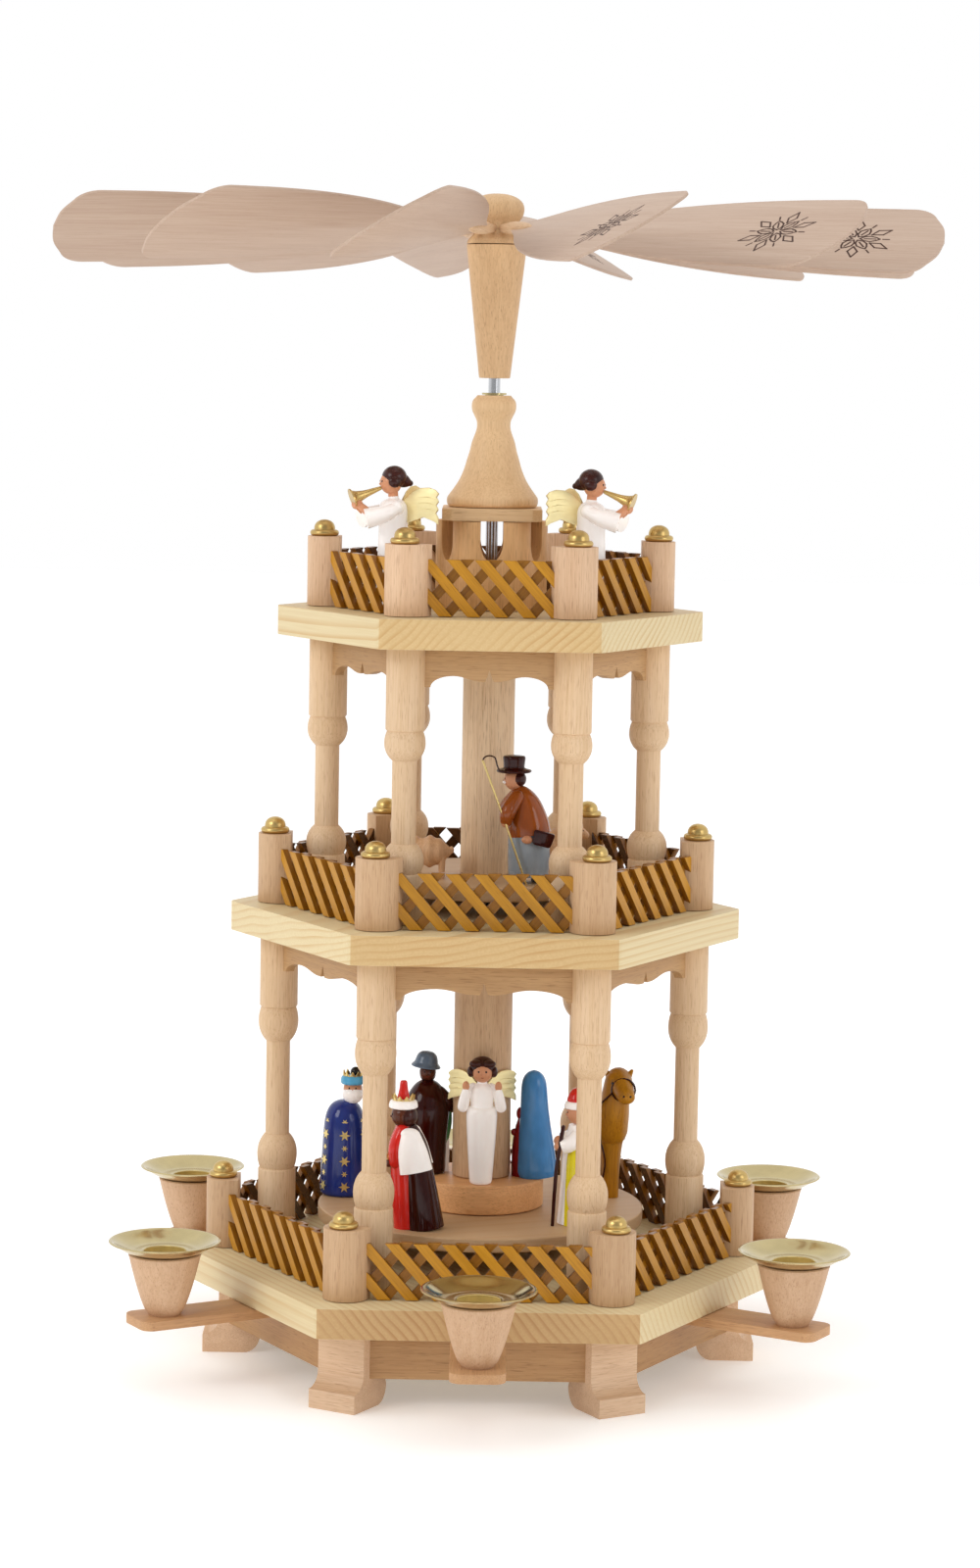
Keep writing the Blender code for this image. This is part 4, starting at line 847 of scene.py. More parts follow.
def boards():
    """Three hexagonal pine boards; the two upper ones have a hole for the rod."""
    plans = (
        ("base", "base_board", BASE_EDGE_PAINTED_SHADE, math.radians(-60), math.radians(34)),
        ("middle", "middle_board", MIDDLE_EDGE_PAINTED_SHADE, math.radians(60), math.radians(80)),
        ("top", "top_board", TOP_EDGE_PAINTED_SHADE, math.radians(-60), math.radians(-40)),
    )
    for name, node, shaded_edge_look, heading, lean in plans:
        low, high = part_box(node)
        outlines = [hexagon(high.x, BOARD_CORNER_RADIUS)]
        if node != "base_board":
            outlines.append(circle(BOARD_HOLE_RADIUS, FACETS))
        mesh = flat(outlines, BOARD_THICKNESS, BOARD_EASE, 4)
        # Edge faces that look to the front or back take the darker edge look, which is painted shade
        for face in mesh.polygons:
            face.material_index = 1 if abs(face.normal.y) > 0.9 else 0
        mesh.transform(shift(0.0, 0.0, low.z))
        shell = (mesh, (PINE, shaded_edge_look), Matrix.Identity(4), pine_turn(heading, lean))
        piece(name + "_deck", "frame", [node], [shell])


def base_frame():
    """Six bracket feet, and the rails between them with a notch for each candle arm."""
    height = FOOT_HEIGHT - FIT
    toe = FOOT_FACE_RADIUS + FOOT_TOE_LENGTH
    back = FOOT_FACE_RADIUS - FOOT_NECK_DEPTH
    sole_end = toe - FOOT_SOLE_LENGTH
    curve_top = FOOT_TOE_HEIGHT + FOOT_CURVE_HEIGHT
    heel = back - FOOT_HEEL_BULGE
    outline = [(back, height), (FOOT_FACE_RADIUS, height)]
    outline += [
        (toe - FOOT_TOE_LENGTH * math.cos(angle), curve_top - FOOT_CURVE_HEIGHT * math.sin(angle))
        for angle in angles(math.pi / 2, 8, 0, 8)
    ]
    outline += [(toe, 0.0), (sole_end, 0.0)]
    outline += [
        (sole_end - (sole_end - heel) * math.sin(angle), FOOT_TOE_HEIGHT * (1 - math.cos(angle)))
        for angle in angles(math.pi / 2, 8, 1, 8)
    ]
    bulge = (heel + FOOT_HEEL_BULGE * 0.35, curve_top * 0.85)
    outline += curved([(heel, FOOT_TOE_HEIGHT), bulge, (back, curve_top * 1.15)], 5)[1:]
    foot = upright(flat([outline], FOOT_WIDTH, FOOT_EASE), FOOT_WIDTH)
    shells = [(foot, FOOT_WOOD, turn_z(STEP * i), LIE_ALONG_Y) for i in range(SIDES)]
    apothem = (FOOT_FACE_RADIUS - RAIL_SETBACK) * math.cos(STEP / 2) + FOOT_WIDTH / 2 * math.sin(STEP / 2)
    length = 2 * (apothem * math.tan(STEP / 2) - RAIL_SETBACK)
    centre = (apothem - RAIL_THICKNESS / 2, 0.0, height - RAIL_HEIGHT / 2)
    rail = bar((RAIL_THICKNESS, length, RAIL_HEIGHT), centre, EASE)
    notch_size = (3 * RAIL_THICKNESS, ARM_WIDTH + 2 * FIT, (ARM_THICKNESS + FIT) * 2)
    rail = carve(rail, [bar(notch_size, (apothem, 0.0, FOOT_HEIGHT), NOTCH_EASE)])
    shells += [(rail, RAIL_WOOD, turn_z(STEP * (i + 0.5)), LIE_ALONG_Y) for i in range(SIDES)]
    piece("feet_and_rails", "frame", ["base_frame"], shells)


def ball_profile(top, tall, narrow_below):
    """Down the side of a turned ball, from a groove to a thin neck, or the other way up."""
    made = []
    for i in range(13):
        share = i / 12
        level = share if narrow_below else 1 - share
        if level < BALL_WAIST_SHARE:
            spread = math.sqrt(1 - ((level - BALL_WAIST_SHARE) / 0.858) ** 2)
        else:
            spread = math.sqrt(1 - ((level - BALL_WAIST_SHARE) / 0.745) ** 2)
        made.append((COLUMN_BALL_RADIUS * spread, top - tall * share))
    return made


def column_profile(height, top_length, foot_length, ball):
    """Down the side of a column: a thick head, a ball, a thin neck, a ball and a thick foot."""
    thick = COLUMN_THICK_RADIUS
    groove = COLUMN_GROOVE_RADIUS
    upper_ball = height - top_length
    lower_ball = foot_length + ball
    lip = COLUMN_LIP
    points = [(0.0, height), (thick - lip / 3, height), (thick, height - lip / 2), (thick, upper_ball + lip)]
    points += [(thick - lip / 3, upper_ball + lip / 3), (groove, upper_ball)]
    points += ball_profile(upper_ball, ball, True)
    neck = COLUMN_THIN_RADIUS
    points += [(neck, upper_ball - ball), (neck, lower_ball)]
    points += ball_profile(lower_ball, ball, False)
    points += [(groove, foot_length), (thick - lip / 3, foot_length - lip / 3), (thick, foot_length - lip)]
    return points + [(thick, lip / 2), (thick - lip / 3, 0.0), (0.0, 0.0)]


def arch_outline(span):
    """Arch board seen from outside: deep ends, two rising arcs, a centre lobe and an A-notch."""
    half = span / 2
    peak = half * 0.47
    start = half - ARCH_SHOULDER
    notch = ARCH_NOTCH_WIDTH / 2
    rise = ARCH_END_DEPTH - ARCH_PEAK_DEPTH
    fall = ARCH_LOBE_DEPTH - ARCH_PEAK_DEPTH
    side = [(half, 0.0), (half, -ARCH_END_DEPTH)]
    side += [
        (start - (start - peak) * (1 - math.cos(angle)), -ARCH_END_DEPTH + rise * math.sin(angle))
        for angle in angles(math.pi / 2, 10, 0, 10)
    ]
    side += [
        (peak * (1 - share), -ARCH_PEAK_DEPTH - fall * (1 - math.cos(math.pi * share / 0.8)) / 2)
        for share in (0.1, 0.2, 0.3, 0.4, 0.5, 0.6, 0.7, 0.8)
    ]
    side += [(notch, -ARCH_LOBE_DEPTH)]
    return side + [(0.0, -ARCH_LOBE_DEPTH + ARCH_NOTCH_HEIGHT)] + [(-x, y) for x, y in reversed(side)]


def colonnade(name, node, floor, height, circle_radius, top_length, foot_length, ball):
    """Six turned columns and the arch boards between their heads."""
    length = height - 2 * FIT
    column = lathe(column_profile(length, top_length, foot_length, ball))
    level = shift(0.0, 0.0, floor + FIT)
    shells = [
        (column, COLUMN_WOOD, level @ turn_z(STEP * i) @ shift(circle_radius, 0.0, 0.0))
        for i in range(SIDES)]
    span = circle_radius - 2 * ARCH_THICKNESS * 0.8
    arch = upright(flat([arch_outline(span)], ARCH_THICKNESS, EASE), ARCH_THICKNESS)
    apothem = circle_radius * math.cos(STEP / 2)
    under = shift(0.0, apothem, length - FIT)
    shells += [
        (arch, ARCH_WOOD, level @ turn_z(STEP * (i + 0.5) - math.pi / 2) @ under, LIE_ALONG_X)
        for i in range(SIDES)]
    piece(name, "frame", [node], shells)


def cap_profile():
    ring = CAP_RING_RADIUS
    dome = CAP_DOME_RADIUS
    made = [(0.0, CAP_HEIGHT)]
    rise = CAP_HEIGHT - CAP_RING_HEIGHT
    made += [
        (dome * math.sin(angle), CAP_RING_HEIGHT + rise * math.cos(angle) ** 0.8)
        for angle in angles(math.pi / 2, 10, 1, 9)
    ]
    made += [(dome, CAP_RING_HEIGHT)]
    half = CAP_RING_HEIGHT / 2
    made += [
        (ring - half + half * math.sin(angle), half + half * math.cos(angle))
        for angle in angles(math.pi, 8, 1, 7)
    ]
    return made + [(ring - half, 0.0), (0.0, 0.0)]


def clipped(corners, limit, side):
    """Keep the part of a flat outline that lies past x = limit, on the given side."""
    kept = []
    for i, (x, y) in enumerate(corners):
        next_x, next_y = corners[(i + 1) % len(corners)]
        if (x - limit) * side >= 0:
            kept.append((x, y))
        if (x - limit) * (next_x - limit) < 0:
            share = (limit - x) / (next_x - x)
            kept.append((limit, y + (next_y - y) * share))
    return kept


def slat_layer(length, lean, lead):
    """Parallel slats of one layer, cut square at the lattice's four edges."""
    run = PANEL_HEIGHT / math.tan(SLAT_ANGLE)
    width = SLAT_WIDTH / math.sin(SLAT_ANGLE)
    count = int(math.ceil((length + run) / SLAT_PITCH)) + 1
    outlines = []
    for i in range(-1, count):
        foot = lead + i * SLAT_PITCH - (run if lean > 0 else 0.0)
        corners = [(foot, 0.0), (foot + width, 0.0)]
        corners += [(foot + width + lean * run, PANEL_HEIGHT), (foot + lean * run, PANEL_HEIGHT)]
        outline = clipped(clipped(corners, 0.0, 1), length, -1)
        if len(outline) > 2 and max(x for x, _ in outline) - min(x for x, _ in outline) > width * 0.4:
            outlines.append(outline)
    return flat(outlines, SLAT_DEPTH + 2 * SLAT_LAP, SLAT_EASE, 1)


def facing(mesh, direction, share):
    """Give the faces that look along a direction the first look of a pair, and the others the second."""
    for face in mesh.polygons:
        face.material_index = 0 if face.normal.dot(direction) > share else 1
    return mesh


def facing_in(mesh, outward):
    """Give the faces that look inward the third look."""
    for face in mesh.polygons:
        if face.normal.dot(outward) < -0.7:
            face.material_index = 2
    return mesh


def lattice(length):
    """Front slats falling to the right, back slats to the left, milled from one board."""
    run = PANEL_HEIGHT / math.tan(SLAT_ANGLE)
    outward = Vector((0.0, 0.0, 1.0))
    front = facing(slat_layer(length, -1.0, SLAT_PITCH / 2), outward, 0.7)
    back = slat_layer(length, 1.0, SLAT_PITCH / 2 + run)
    back.transform(shift(0.0, 0.0, -SLAT_DEPTH))
    back = facing(back, outward, 0.7)
    front = facing_in(front, outward)
    back = facing_in(back, outward)
    stand = shift(0.0, SLAT_DEPTH, 0.0) @ Matrix.Rotation(math.pi / 2, 4, "X")
    front.transform(stand)
    back.transform(stand)
    return front, back


def slat_turn(lean):
    """Lay the grain along slats that lean to the left or to the right."""
    along = Vector((lean * math.cos(SLAT_ANGLE), 0.0, math.sin(SLAT_ANGLE)))
    across = Vector((0.0, 1.0, 0.0))
    return Matrix((along.cross(across), across, along))


def fence(name, node, circle_radius, floor, post_look):
    """Six posts with gilt caps, and a lattice panel between each two."""
    radius = POST_RADIUS
    section = arc((0.0, 0.0), radius, -math.pi / 2, math.pi / 2, 20)
    section += [(-POST_BACK_DEPTH, POST_BACK_HALF), (-POST_BACK_DEPTH, -POST_BACK_HALF)]
    post = flat([section], POST_HEIGHT, POST_EASE)
    cap = lathe(cap_profile())
    cap_place = shift((radius - POST_BACK_DEPTH) / 2, 0.0, POST_HEIGHT)
    level = shift(0.0, 0.0, floor + FIT)
    shells = []
    for i in range(SIDES):
        corner = level @ turn_z(STEP * i) @ shift(circle_radius, 0.0, 0.0)
        shells += [(post, post_look, corner), (cap, GILT, corner @ cap_place)]
    reach = radius * math.cos(STEP / 2)
    length = circle_radius - 2 * reach + 2 * PANEL_LAP
    front, back = lattice(length)
    face = circle_radius * math.cos(STEP / 2) + radius * math.sin(STEP / 2) - PANEL_LAP
    for i in range(SIDES):
        side = level @ turn_z(STEP * (i + 0.5) + math.pi / 2) @ shift(-length / 2, -face, 0.0)
        # The back layer and the slat sides take darker copies of the front's mustard, which is painted shade
        shells.append((front, (SLAT_FACE, SLAT_SIDE_PAINTED_SHADE, SLAT_BACK), side, slat_turn(-1.0)))
        shells.append((back, (SLAT_SHADE, SLAT_SIDE_PAINTED_SHADE, SLAT_BACK), side, slat_turn(1.0)))
    piece(name, "frame", [node], shells)


def candle_places():
    """Six flat arms with a turned cup each, and the brass pans that stand in the cups."""
    tip = CUP_CIRCLE + ARM_TIP_LENGTH
    half = ARM_WIDTH / 2
    inset = ARM_CORNER_RADIUS
    outline = [(ARM_INNER_RADIUS, -half)]
    outline += arc((tip - inset, -half + inset), inset, -math.pi / 2, 0.0, 6)
    outline += arc((tip - inset, half - inset), inset, 0.0, math.pi / 2, 6)
    outline.append((ARM_INNER_RADIUS, half))
    arm = flat([outline], ARM_THICKNESS - FIT, ARM_EASE)
    foot = FOOT_HEIGHT - FIT
    top = foot + CUP_HEIGHT
    bore = SOCKET_RADIUS + PAN_SHEET + FIT
    bottom = top - SOCKET_DEPTH - FIT
    grow = CUP_TOP_RADIUS - CUP_FOOT_RADIUS
    lip = CUP_LIP
    profile = [(0.0, bottom), (bore, bottom), (bore, top)]
    profile += [(CUP_TOP_RADIUS - lip, top), (CUP_TOP_RADIUS, top - lip)]
    profile += [
        (CUP_FOOT_RADIUS + grow * share ** 0.68, foot + CUP_HEIGHT * share)
        for share in (0.93, 0.915, 0.8, 0.7, 0.6, 0.5, 0.4, 0.3, 0.2, 0.1)
    ]
    profile += [(CUP_FOOT_RADIUS, foot), (0.0, foot)]
    cup = lathe(profile)
    under = FOOT_HEIGHT + CUP_HEIGHT
    socket = SOCKET_RADIUS
    sheet = PAN_SHEET
    deep = under - SOCKET_DEPTH
    lip_top = under + PAN_RISE
    inner = curved([
        (socket, under - sheet), (socket + sheet * 0.7, under + sheet * 0.9),
        (PAN_FLOOR_RADIUS, under + sheet * 1.3), (PAN_FLOOR_RADIUS * 1.25, under + PAN_RISE * 0.42),
        (PAN_RADIUS * 0.93, lip_top - sheet * 0.25), (PAN_RADIUS * 0.985, lip_top)], 5)
    outer = curved([
        (PAN_RADIUS, lip_top - sheet * 0.5), (PAN_RADIUS * 0.98, lip_top - sheet * 1.1),
        (PAN_RADIUS * 0.93, lip_top - sheet * 1.4), (PAN_FLOOR_RADIUS * 1.28, under + PAN_RISE * 0.24),
        (PAN_FLOOR_RADIUS, under), (socket + sheet * 1.6, under)], 5)
    profile = [(0.0, deep + sheet), (socket, deep + sheet)] + inner + outer
    profile += [(socket + sheet, under - sheet), (socket + sheet, deep), (0.0, deep)]
    pan = lathe(profile, WIDE_FACETS)
    # The socket's floor and inner wall take the flat gold, which is a painted reflection
    for face in pan.polygons:
        reach = math.hypot(face.center.x, face.center.y)
        face.material_index = 1 if reach < socket * 1.01 and face.center.z > deep + sheet / 2 else 0
    for i in range(SIDES):
        angle = STEP * (i + 0.5)
        out = turn_z(angle)
        piece(
            "arm_and_cup_%d" % (i + 1), "frame", ["candle_arm_%d" % (i + 1)],
            [(arm, ARM_WOOD, out @ shift(0.0, 0.0, FOOT_HEIGHT - ARM_THICKNESS), LIE_ALONG_X),
             (cup, CUP_WOOD, out @ shift(CUP_CIRCLE, 0.0, 0.0))])
        piece(
            "brass_pan_%d" % (i + 1), "frame", ["drip_pan_%d" % (i + 1)],
            [(pan, (BRASS, SOCKET_PAINTED_GLEAM), out @ shift(CUP_CIRCLE, 0.0, 0.0))])


def turret():
    """The windowed drum, its cornice and bell roof, and the rod's two brass bearings."""
    floor = TOP_TOP
    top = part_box("turret_drum")[1].z
    height = top - floor
    centre = DRUM_CORNER_RADIUS - DRUM_CORNER_ROUND / math.cos(STEP / 2)
    outline = []
    for i in range(SIDES):
        angle = STEP * i
        middle = (centre * math.cos(angle), centre * math.sin(angle))
        outline += arc(middle, DRUM_CORNER_ROUND, angle - STEP / 2, angle + STEP / 2, 12)
    drum = flat([outline, circle(DRUM_BORE_RADIUS, FACETS)], height - FIT)
    drum.transform(shift(0.0, 0.0, floor + FIT))
    half = WINDOW_HALF
    shoulder = height - WINDOW_DEPTH + WINDOW_POINT
    side = [
        (half * math.cos(angle), shoulder - WINDOW_POINT * math.sin(angle) ** 1.25)
        for angle in angles(math.pi / 2, 10, 0, 9)
    ]
    window = [(-half, 2 * height), (half, 2 * height)] + side + [(0.0, shoulder - WINDOW_POINT)]
    window += [(-x, y) for x, y in reversed(side)]
    depth = 3 * DRUM_CORNER_RADIUS
    cutter = upright(flat([window], depth), depth)
    cutters = []
    for i in range(SIDES // 2):
        hole = cutter.copy()
        hole.transform(shift(0.0, 0.0, floor) @ turn_z(STEP * i))
        cutters.append(hole)
    drum = eased_edges(carve(drum, cutters), DRUM_EASE, 2, 40)
    piece("drum_with_windows", "frame", ["turret_drum"], [(drum, DRUM_WOOD)])
    low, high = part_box("turret_cornice")
    wide, deep = high.x, high.y
    cut = CORNICE_CORNER_CUT
    plan = [(wide, cut - deep), (wide, deep - cut), (wide - cut, deep), (cut - wide, deep)]
    plan += [(-x, -y) for x, y in plan]
    slab = flat([plan, circle(BUSH_RADIUS + FIT, FACETS)], high.z - low.z, CORNICE_EASE, 3)
    slab.transform(shift(0.0, 0.0, low.z))
    shell = (slab, BELL_WOOD, Matrix.Identity(4), LIE_ALONG_X)
    piece("cornice", "frame", ["turret_cornice"], [shell])
    low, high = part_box("bell_roof")
    base = low.z
    tall = high.z - base
    outer = [(BELL_BULB_RADIUS * share, base + tall * level) for share, level in BELL_SHARES]
    outer += [(high.x * share, base + tall * level) for share, level in BELL_SKIRT_SHARES]
    bore = BUSH_RADIUS + FIT
    profile = [(bore, base), (bore, base + tall)] + curved(outer, 4)
    piece("bell", "frame", ["bell_roof"], [(lathe(profile, FINE_FACETS), BELL_WOOD)])
    low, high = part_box("top_bush")
    rod = ROD_RADIUS + FIT
    profile = [(rod, low.z), (rod, high.z), (high.x, high.z), (high.x, high.z - BUSH_FLANGE)]
    profile += [(BUSH_RADIUS, high.z - BUSH_FLANGE), (BUSH_RADIUS, low.z)]
    piece("brass_bush", "frame", ["top_bush"], [(lathe(profile), BRASS)])
    low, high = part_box("bearing_cup")
    mouth = rod + FIT
    dimple = high.z - PIVOT_DEPTH
    profile = [(0.0, dimple - PIVOT_CONE), (mouth, dimple), (mouth, high.z)]
    profile += rounded([(high.x * 0.9, high.z), (high.x, high.z), (high.x, low.z)], PIVOT_EASE)
    piece("pivot_cup", "frame", ["bearing_cup"], [(lathe(profile + [(0.0, low.z)]), BRASS)])


def disc(name, node, look, ease, grain=None):
    """A disc or sleeve with a bore for the rod."""
    low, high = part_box(node)
    bore = ROD_RADIUS + FIT
    outer = rounded([(bore, high.z), (high.x, high.z), (high.x, low.z), (bore, low.z)], ease)
    shell = (lathe(outer, WIDE_FACETS), look, Matrix.Identity(4), grain or Matrix.Identity(3))
    piece(name, "rotor", [node], [shell])


def shaft():
    """The steel rod with its turntables, dais and sleeves."""
    low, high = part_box("shaft_rod")
    profile = [(0.0, high.z), (ROD_RADIUS, high.z), (ROD_RADIUS, low.z + ROD_POINT), (0.0, low.z)]
    piece("steel_rod", "rotor", ["shaft_rod"], [(lathe(profile), STEEL)])
    level = pine_turn(math.radians(20), math.radians(75))
    disc("lower_table", "lower_turntable", TABLE_PINE, TABLE_EASE, level)
    disc("middle_table", "middle_turntable", TABLE_PINE, TABLE_EASE, level)
    disc("round_dais", "dais", DAIS_WOOD, TABLE_EASE, LIE_ALONG_X)
    disc("lower_core", "lower_sleeve", SLEEVE_WOOD, SLEEVE_EASE)
    disc("middle_core", "middle_sleeve", UPPER_SLEEVE_WOOD, SLEEVE_EASE)


def hub():
    """The cone on the rod, and the head that holds the blades."""
    rod = ROD_RADIUS + FIT
    top = HUB_TOP
    corners = [(rod, top), (HUB_TOP_RADIUS, top), (HUB_FOOT_RADIUS, HUB_UNDER), (rod, HUB_UNDER)]
    outer = rounded(corners, HUB_EASE)
    bore_end = top - HUB_BORE_DEPTH
    profile = [(0.0, top)] + outer[1:-1] + [(rod, HUB_UNDER), (rod, bore_end), (0.0, bore_end)]
    piece("cone", "rotor", ["hub_cone"], [(lathe(profile, FINE_FACETS), HUB_WOOD)])
    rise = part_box("hub_cap")[1].z - HUB_TOP - FIT
    waist = CAP_WAIST_RADIUS
    flare = HUB_TOP_RADIUS
    dome = CAP_DOME_HALF
    axis = BLADE_AXIS_RISE
    outer = curved([
        (0.0, rise), (dome * 0.35, rise * 0.985), (dome * 0.68, rise * 0.93), (dome * 0.92, rise * 0.83),
        (dome, rise * 0.70), (dome * 0.95, rise * 0.56), (waist * 1.04, axis + STEM_RADIUS * 1.2),
        (waist, axis), (waist * 1.08, axis - STEM_RADIUS * 1.2), (flare * 0.93, axis * 0.30), (flare, 0.0)])
    outer[0] = (0.0, rise)
    cap = lathe(outer + [(0.0, 0.0)], FINE_FACETS)
    shell = (cap, HUB_WOOD, shift(0.0, 0.0, HUB_TOP + FIT))
    piece("blade_head", "rotor", ["hub_cap"], [shell])


def blade_outline():
    """Blade seen square on: a narrow root, sides that bow out, round corners and a slightly crowned tip."""
    tip = BLADE_TIP_HALF
    corner = BLADE_CORNER_RADIUS
    square = BLADE_TIP_RADIUS - BLADE_TIP_CROWN
    side = curved([(along * MM, half * MM) for along, half in BLADE_SIDE], 3)
    side += arc((square - corner, tip - corner), corner, math.pi / 2, math.pi / 9, 8)
    end = [side[-1], (BLADE_TIP_RADIUS - BLADE_TIP_CROWN * 0.3, tip * 0.4), (BLADE_TIP_RADIUS, 0.0)]
    side += curved(end, 5)[1:]
    return side + [(x, -y) for x, y in reversed(side[1:-1])]


def rosette_lines():
    """A plain rosette in strokes, as shares of its radius: six petals, and lozenges between them."""
    petal = [(0.10, 0.0), (0.22, 0.11), (0.38, 0.14), (0.52, 0.08), (0.62, 0.0)]
    lozenge = [(0.44, 0.0), (0.70, 0.13), (1.0, 0.0)]
    lines = []
    for k in range(SIDES):
        for side in (-1, 1):
            lines.append([turned_point((x, y * side), STEP * k) for x, y in petal])
            lines.append([turned_point((x, y * side), STEP * (k + 0.5)) for x, y in lozenge])
        lines.append([turned_point(point, STEP * k) for point in ((0.22, 0.0), (0.50, 0.0))])
        lines.append([turned_point(point, STEP * k) for point in ((0.70, 0.0), (0.86, 0.0))])
    return lines


def stroke(points, width):
    """A thin flat stroke along a run of points, as one ribbon with a little height."""
    shape = bmesh.new()
    for (ax, ay), (bx, by) in zip(points, points[1:]):
        length = math.hypot(bx - ax, by - ay)
        if length == 0:
            continue
        nx = -(by - ay) / length * width / 2
        ny = (bx - ax) / length * width / 2
        ex = (bx - ax) / length * width * 0.4
        ey = (by - ay) / length * width * 0.4
        corners = [
            (ax + nx - ex, ay + ny - ey), (ax - nx - ex, ay - ny - ey),
            (bx - nx + ex, by - ny + ey), (bx + nx + ex, by + ny + ey),
        ]
        low = [shape.verts.new((x, y, 0.0)) for x, y in corners]
        high = [shape.verts.new((x, y, STROKE_HEIGHT)) for x, y in corners]
        shape.faces.new(high)
        shape.faces.new(list(reversed(low)))
        for i in range(4):
            j = (i + 1) % 4
            shape.faces.new((low[i], low[j], high[j], high[i]))
    return mesh_of(shape, "stroke")


def blades():
    """Twelve pitched blades, each with a round stem and a burnt rosette."""
    sheet = flat([blade_outline()], BLADE_THICKNESS, EASE)
    sheet.transform(shift(0.0, 0.0, -BLADE_THICKNESS / 2))
    waist = CAP_WAIST_RADIUS
    start = waist - STEM_HIDDEN_END
    end = waist + STEM_LENGTH
    stem = limb(
        [(x, 0.0, 0.0) for x in (start, waist + STEM_FIRST_REACH, end * 0.62, end, end * 1.22)],
        [STEM_RADIUS * share for share in (0.9, 1, 1.35, 1.1, 0.2)])
    strokes = [
        stroke([(ROSETTE_PLACE + x * ROSETTE_RADIUS, y * ROSETTE_RADIUS) for x, y in line], STROKE_WIDTH)
        for line in rosette_lines()]
    on_top = shift(0.0, 0.0, BLADE_THICKNESS / 2 - STROKE_HEIGHT * 0.25)
    axis = HUB_TOP + BLADE_AXIS_RISE
    for i in range(BLADE_COUNT):
        lie = Euler((0.0, BLADE_DROOP, BLADE_START + 2 * math.pi * i / BLADE_COUNT)).to_matrix().to_4x4()
        place = shift(0.0, 0.0, axis) @ lie @ Matrix.Rotation(BLADE_PITCH, 4, "X")
        shells = [(sheet, BLADE_WOOD, place, LIE_ALONG_X), (stem, SLEEVE_WOOD, place, LIE_ALONG_X)]
        shells += [(line, BURNT, place @ on_top) for line in strokes]
        name = "blade_%02d" % (i + 1)
        piece("wing_" + name, name, [name], shells)


def figure(name, body, node, where, turn, shells):
    """Add a figure built in shares of its height, facing the viewer before it is turned."""
    low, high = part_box(node)
    place = shift(*where) @ turn_z(turn) @ Matrix.Scale(high.z - low.z, 4)
    piece(name, body, [node], [(mesh, look, place) for mesh, look in shells])


def stand(name, slot, node, carrier, shares, turn, shells):
    """Stand a figure on one of the rotor's discs, at shares of the disc's radius."""
    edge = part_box(carrier)[1]
    where = (shares[0] * edge.x, shares[1] * edge.x, edge.z + FIT)
    figure(name, "rotor", node, where, turn, shells)


def shells_of(rows, side=1):
    """Shells from rows: a look, then a ball's centre or a bar's path, radii and a bar's settings."""
    made = []
    for look, way, radii, *settings in rows:
        if isinstance(way, tuple):
            mesh = blob((side * way[0], way[1], way[2]), radii)
        else:
            mesh = limb([(side * x, y, z) for x, y, z in way], radii, *settings)
        made.append((mesh, look))
    return made


def mirrored(rows):
    """Shells of the same rows on the left and on the right."""
    return shells_of(rows, -1) + shells_of(rows)


def robe(profile, per=4):
    """A turned robe with a flat sole."""
    return lathe(curved(profile, per) + [(0.0, 0.0)])


def headgear(profile, look, ahead, per=4):
    """A turned hat or band, as far ahead as the head that wears it."""
    return placed(lathe(curved(profile, per)), shift(0.0, -ahead, 0.0)), look


def head(z, radius, skin, forward=0.0):
    """A round head with a plain doll's face: two eyes, a small nose and a short mouth."""
    front = -forward - radius * 0.93
    made = [(blob((0.0, -forward, z), (radius, radius, radius * 1.06)), skin)]
    made += mirrored([
        (BLACK, (radius * 0.34, front + radius * 0.03, z + radius * 0.12),
         (radius * 0.11, radius * 0.07, radius * 0.11)),
    ])
    return made + shells_of([
        (skin, (0.0, front - radius * 0.06, z - radius * 0.12), radius * 0.11),
        (WINE, (0.0, front + radius * 0.07, z - radius * 0.45),
         (radius * 0.16, radius * 0.06, radius * 0.05)),
    ])


def crown(z, radius, height):
    """A ring whose upper edge rises in points."""
    corners = CROWN_POINTS * 2
    turns = [2 * math.pi * i / corners for i in range(corners)]
    levels = [z + (height if i % 2 else height * 0.35) for i in range(corners)]
    shape = bmesh.new()
    rings = []
    for wall in (radius, radius * 0.90):
        flare = wall * 1.12
        low = [shape.verts.new((wall * math.cos(a), wall * math.sin(a), z)) for a in turns]
        high = [
            shape.verts.new((flare * math.cos(a), flare * math.sin(a), level))
            for a, level in zip(turns, levels)]
        rings.append((low, high))
    (outer_low, outer_high), (inner_low, inner_high) = rings
    for i in range(corners):
        j = (i + 1) % corners
        shape.faces.new((outer_low[i], outer_low[j], outer_high[j], outer_high[i]))
        shape.faces.new((inner_low[j], inner_low[i], inner_high[i], inner_high[j]))
        shape.faces.new((outer_high[i], outer_high[j], inner_high[j], inner_high[i]))
        shape.faces.new((outer_low[j], outer_low[i], inner_low[i], inner_low[j]))
    bmesh.ops.recalc_face_normals(shape, faces=shape.faces)
    return mesh_of(shape, "crown")


def sprig(radius, count=6):
    """A small flat star."""
    outline = []
    for i in range(count * 2):
        size = radius if i % 2 == 0 else radius * 0.42
        outline.append((size * math.cos(math.pi * i / count), size * math.sin(math.pi * i / count)))
    return flat([outline], radius * 0.12)


def on_side(angle, radius, z, lean=0.0):
    """A place on the outside of a turned body, facing out, at an angle from the front."""
    return turn_z(angle) @ shift(0.0, -radius, z) @ Matrix.Rotation(math.pi / 2 - lean, 4, "X")


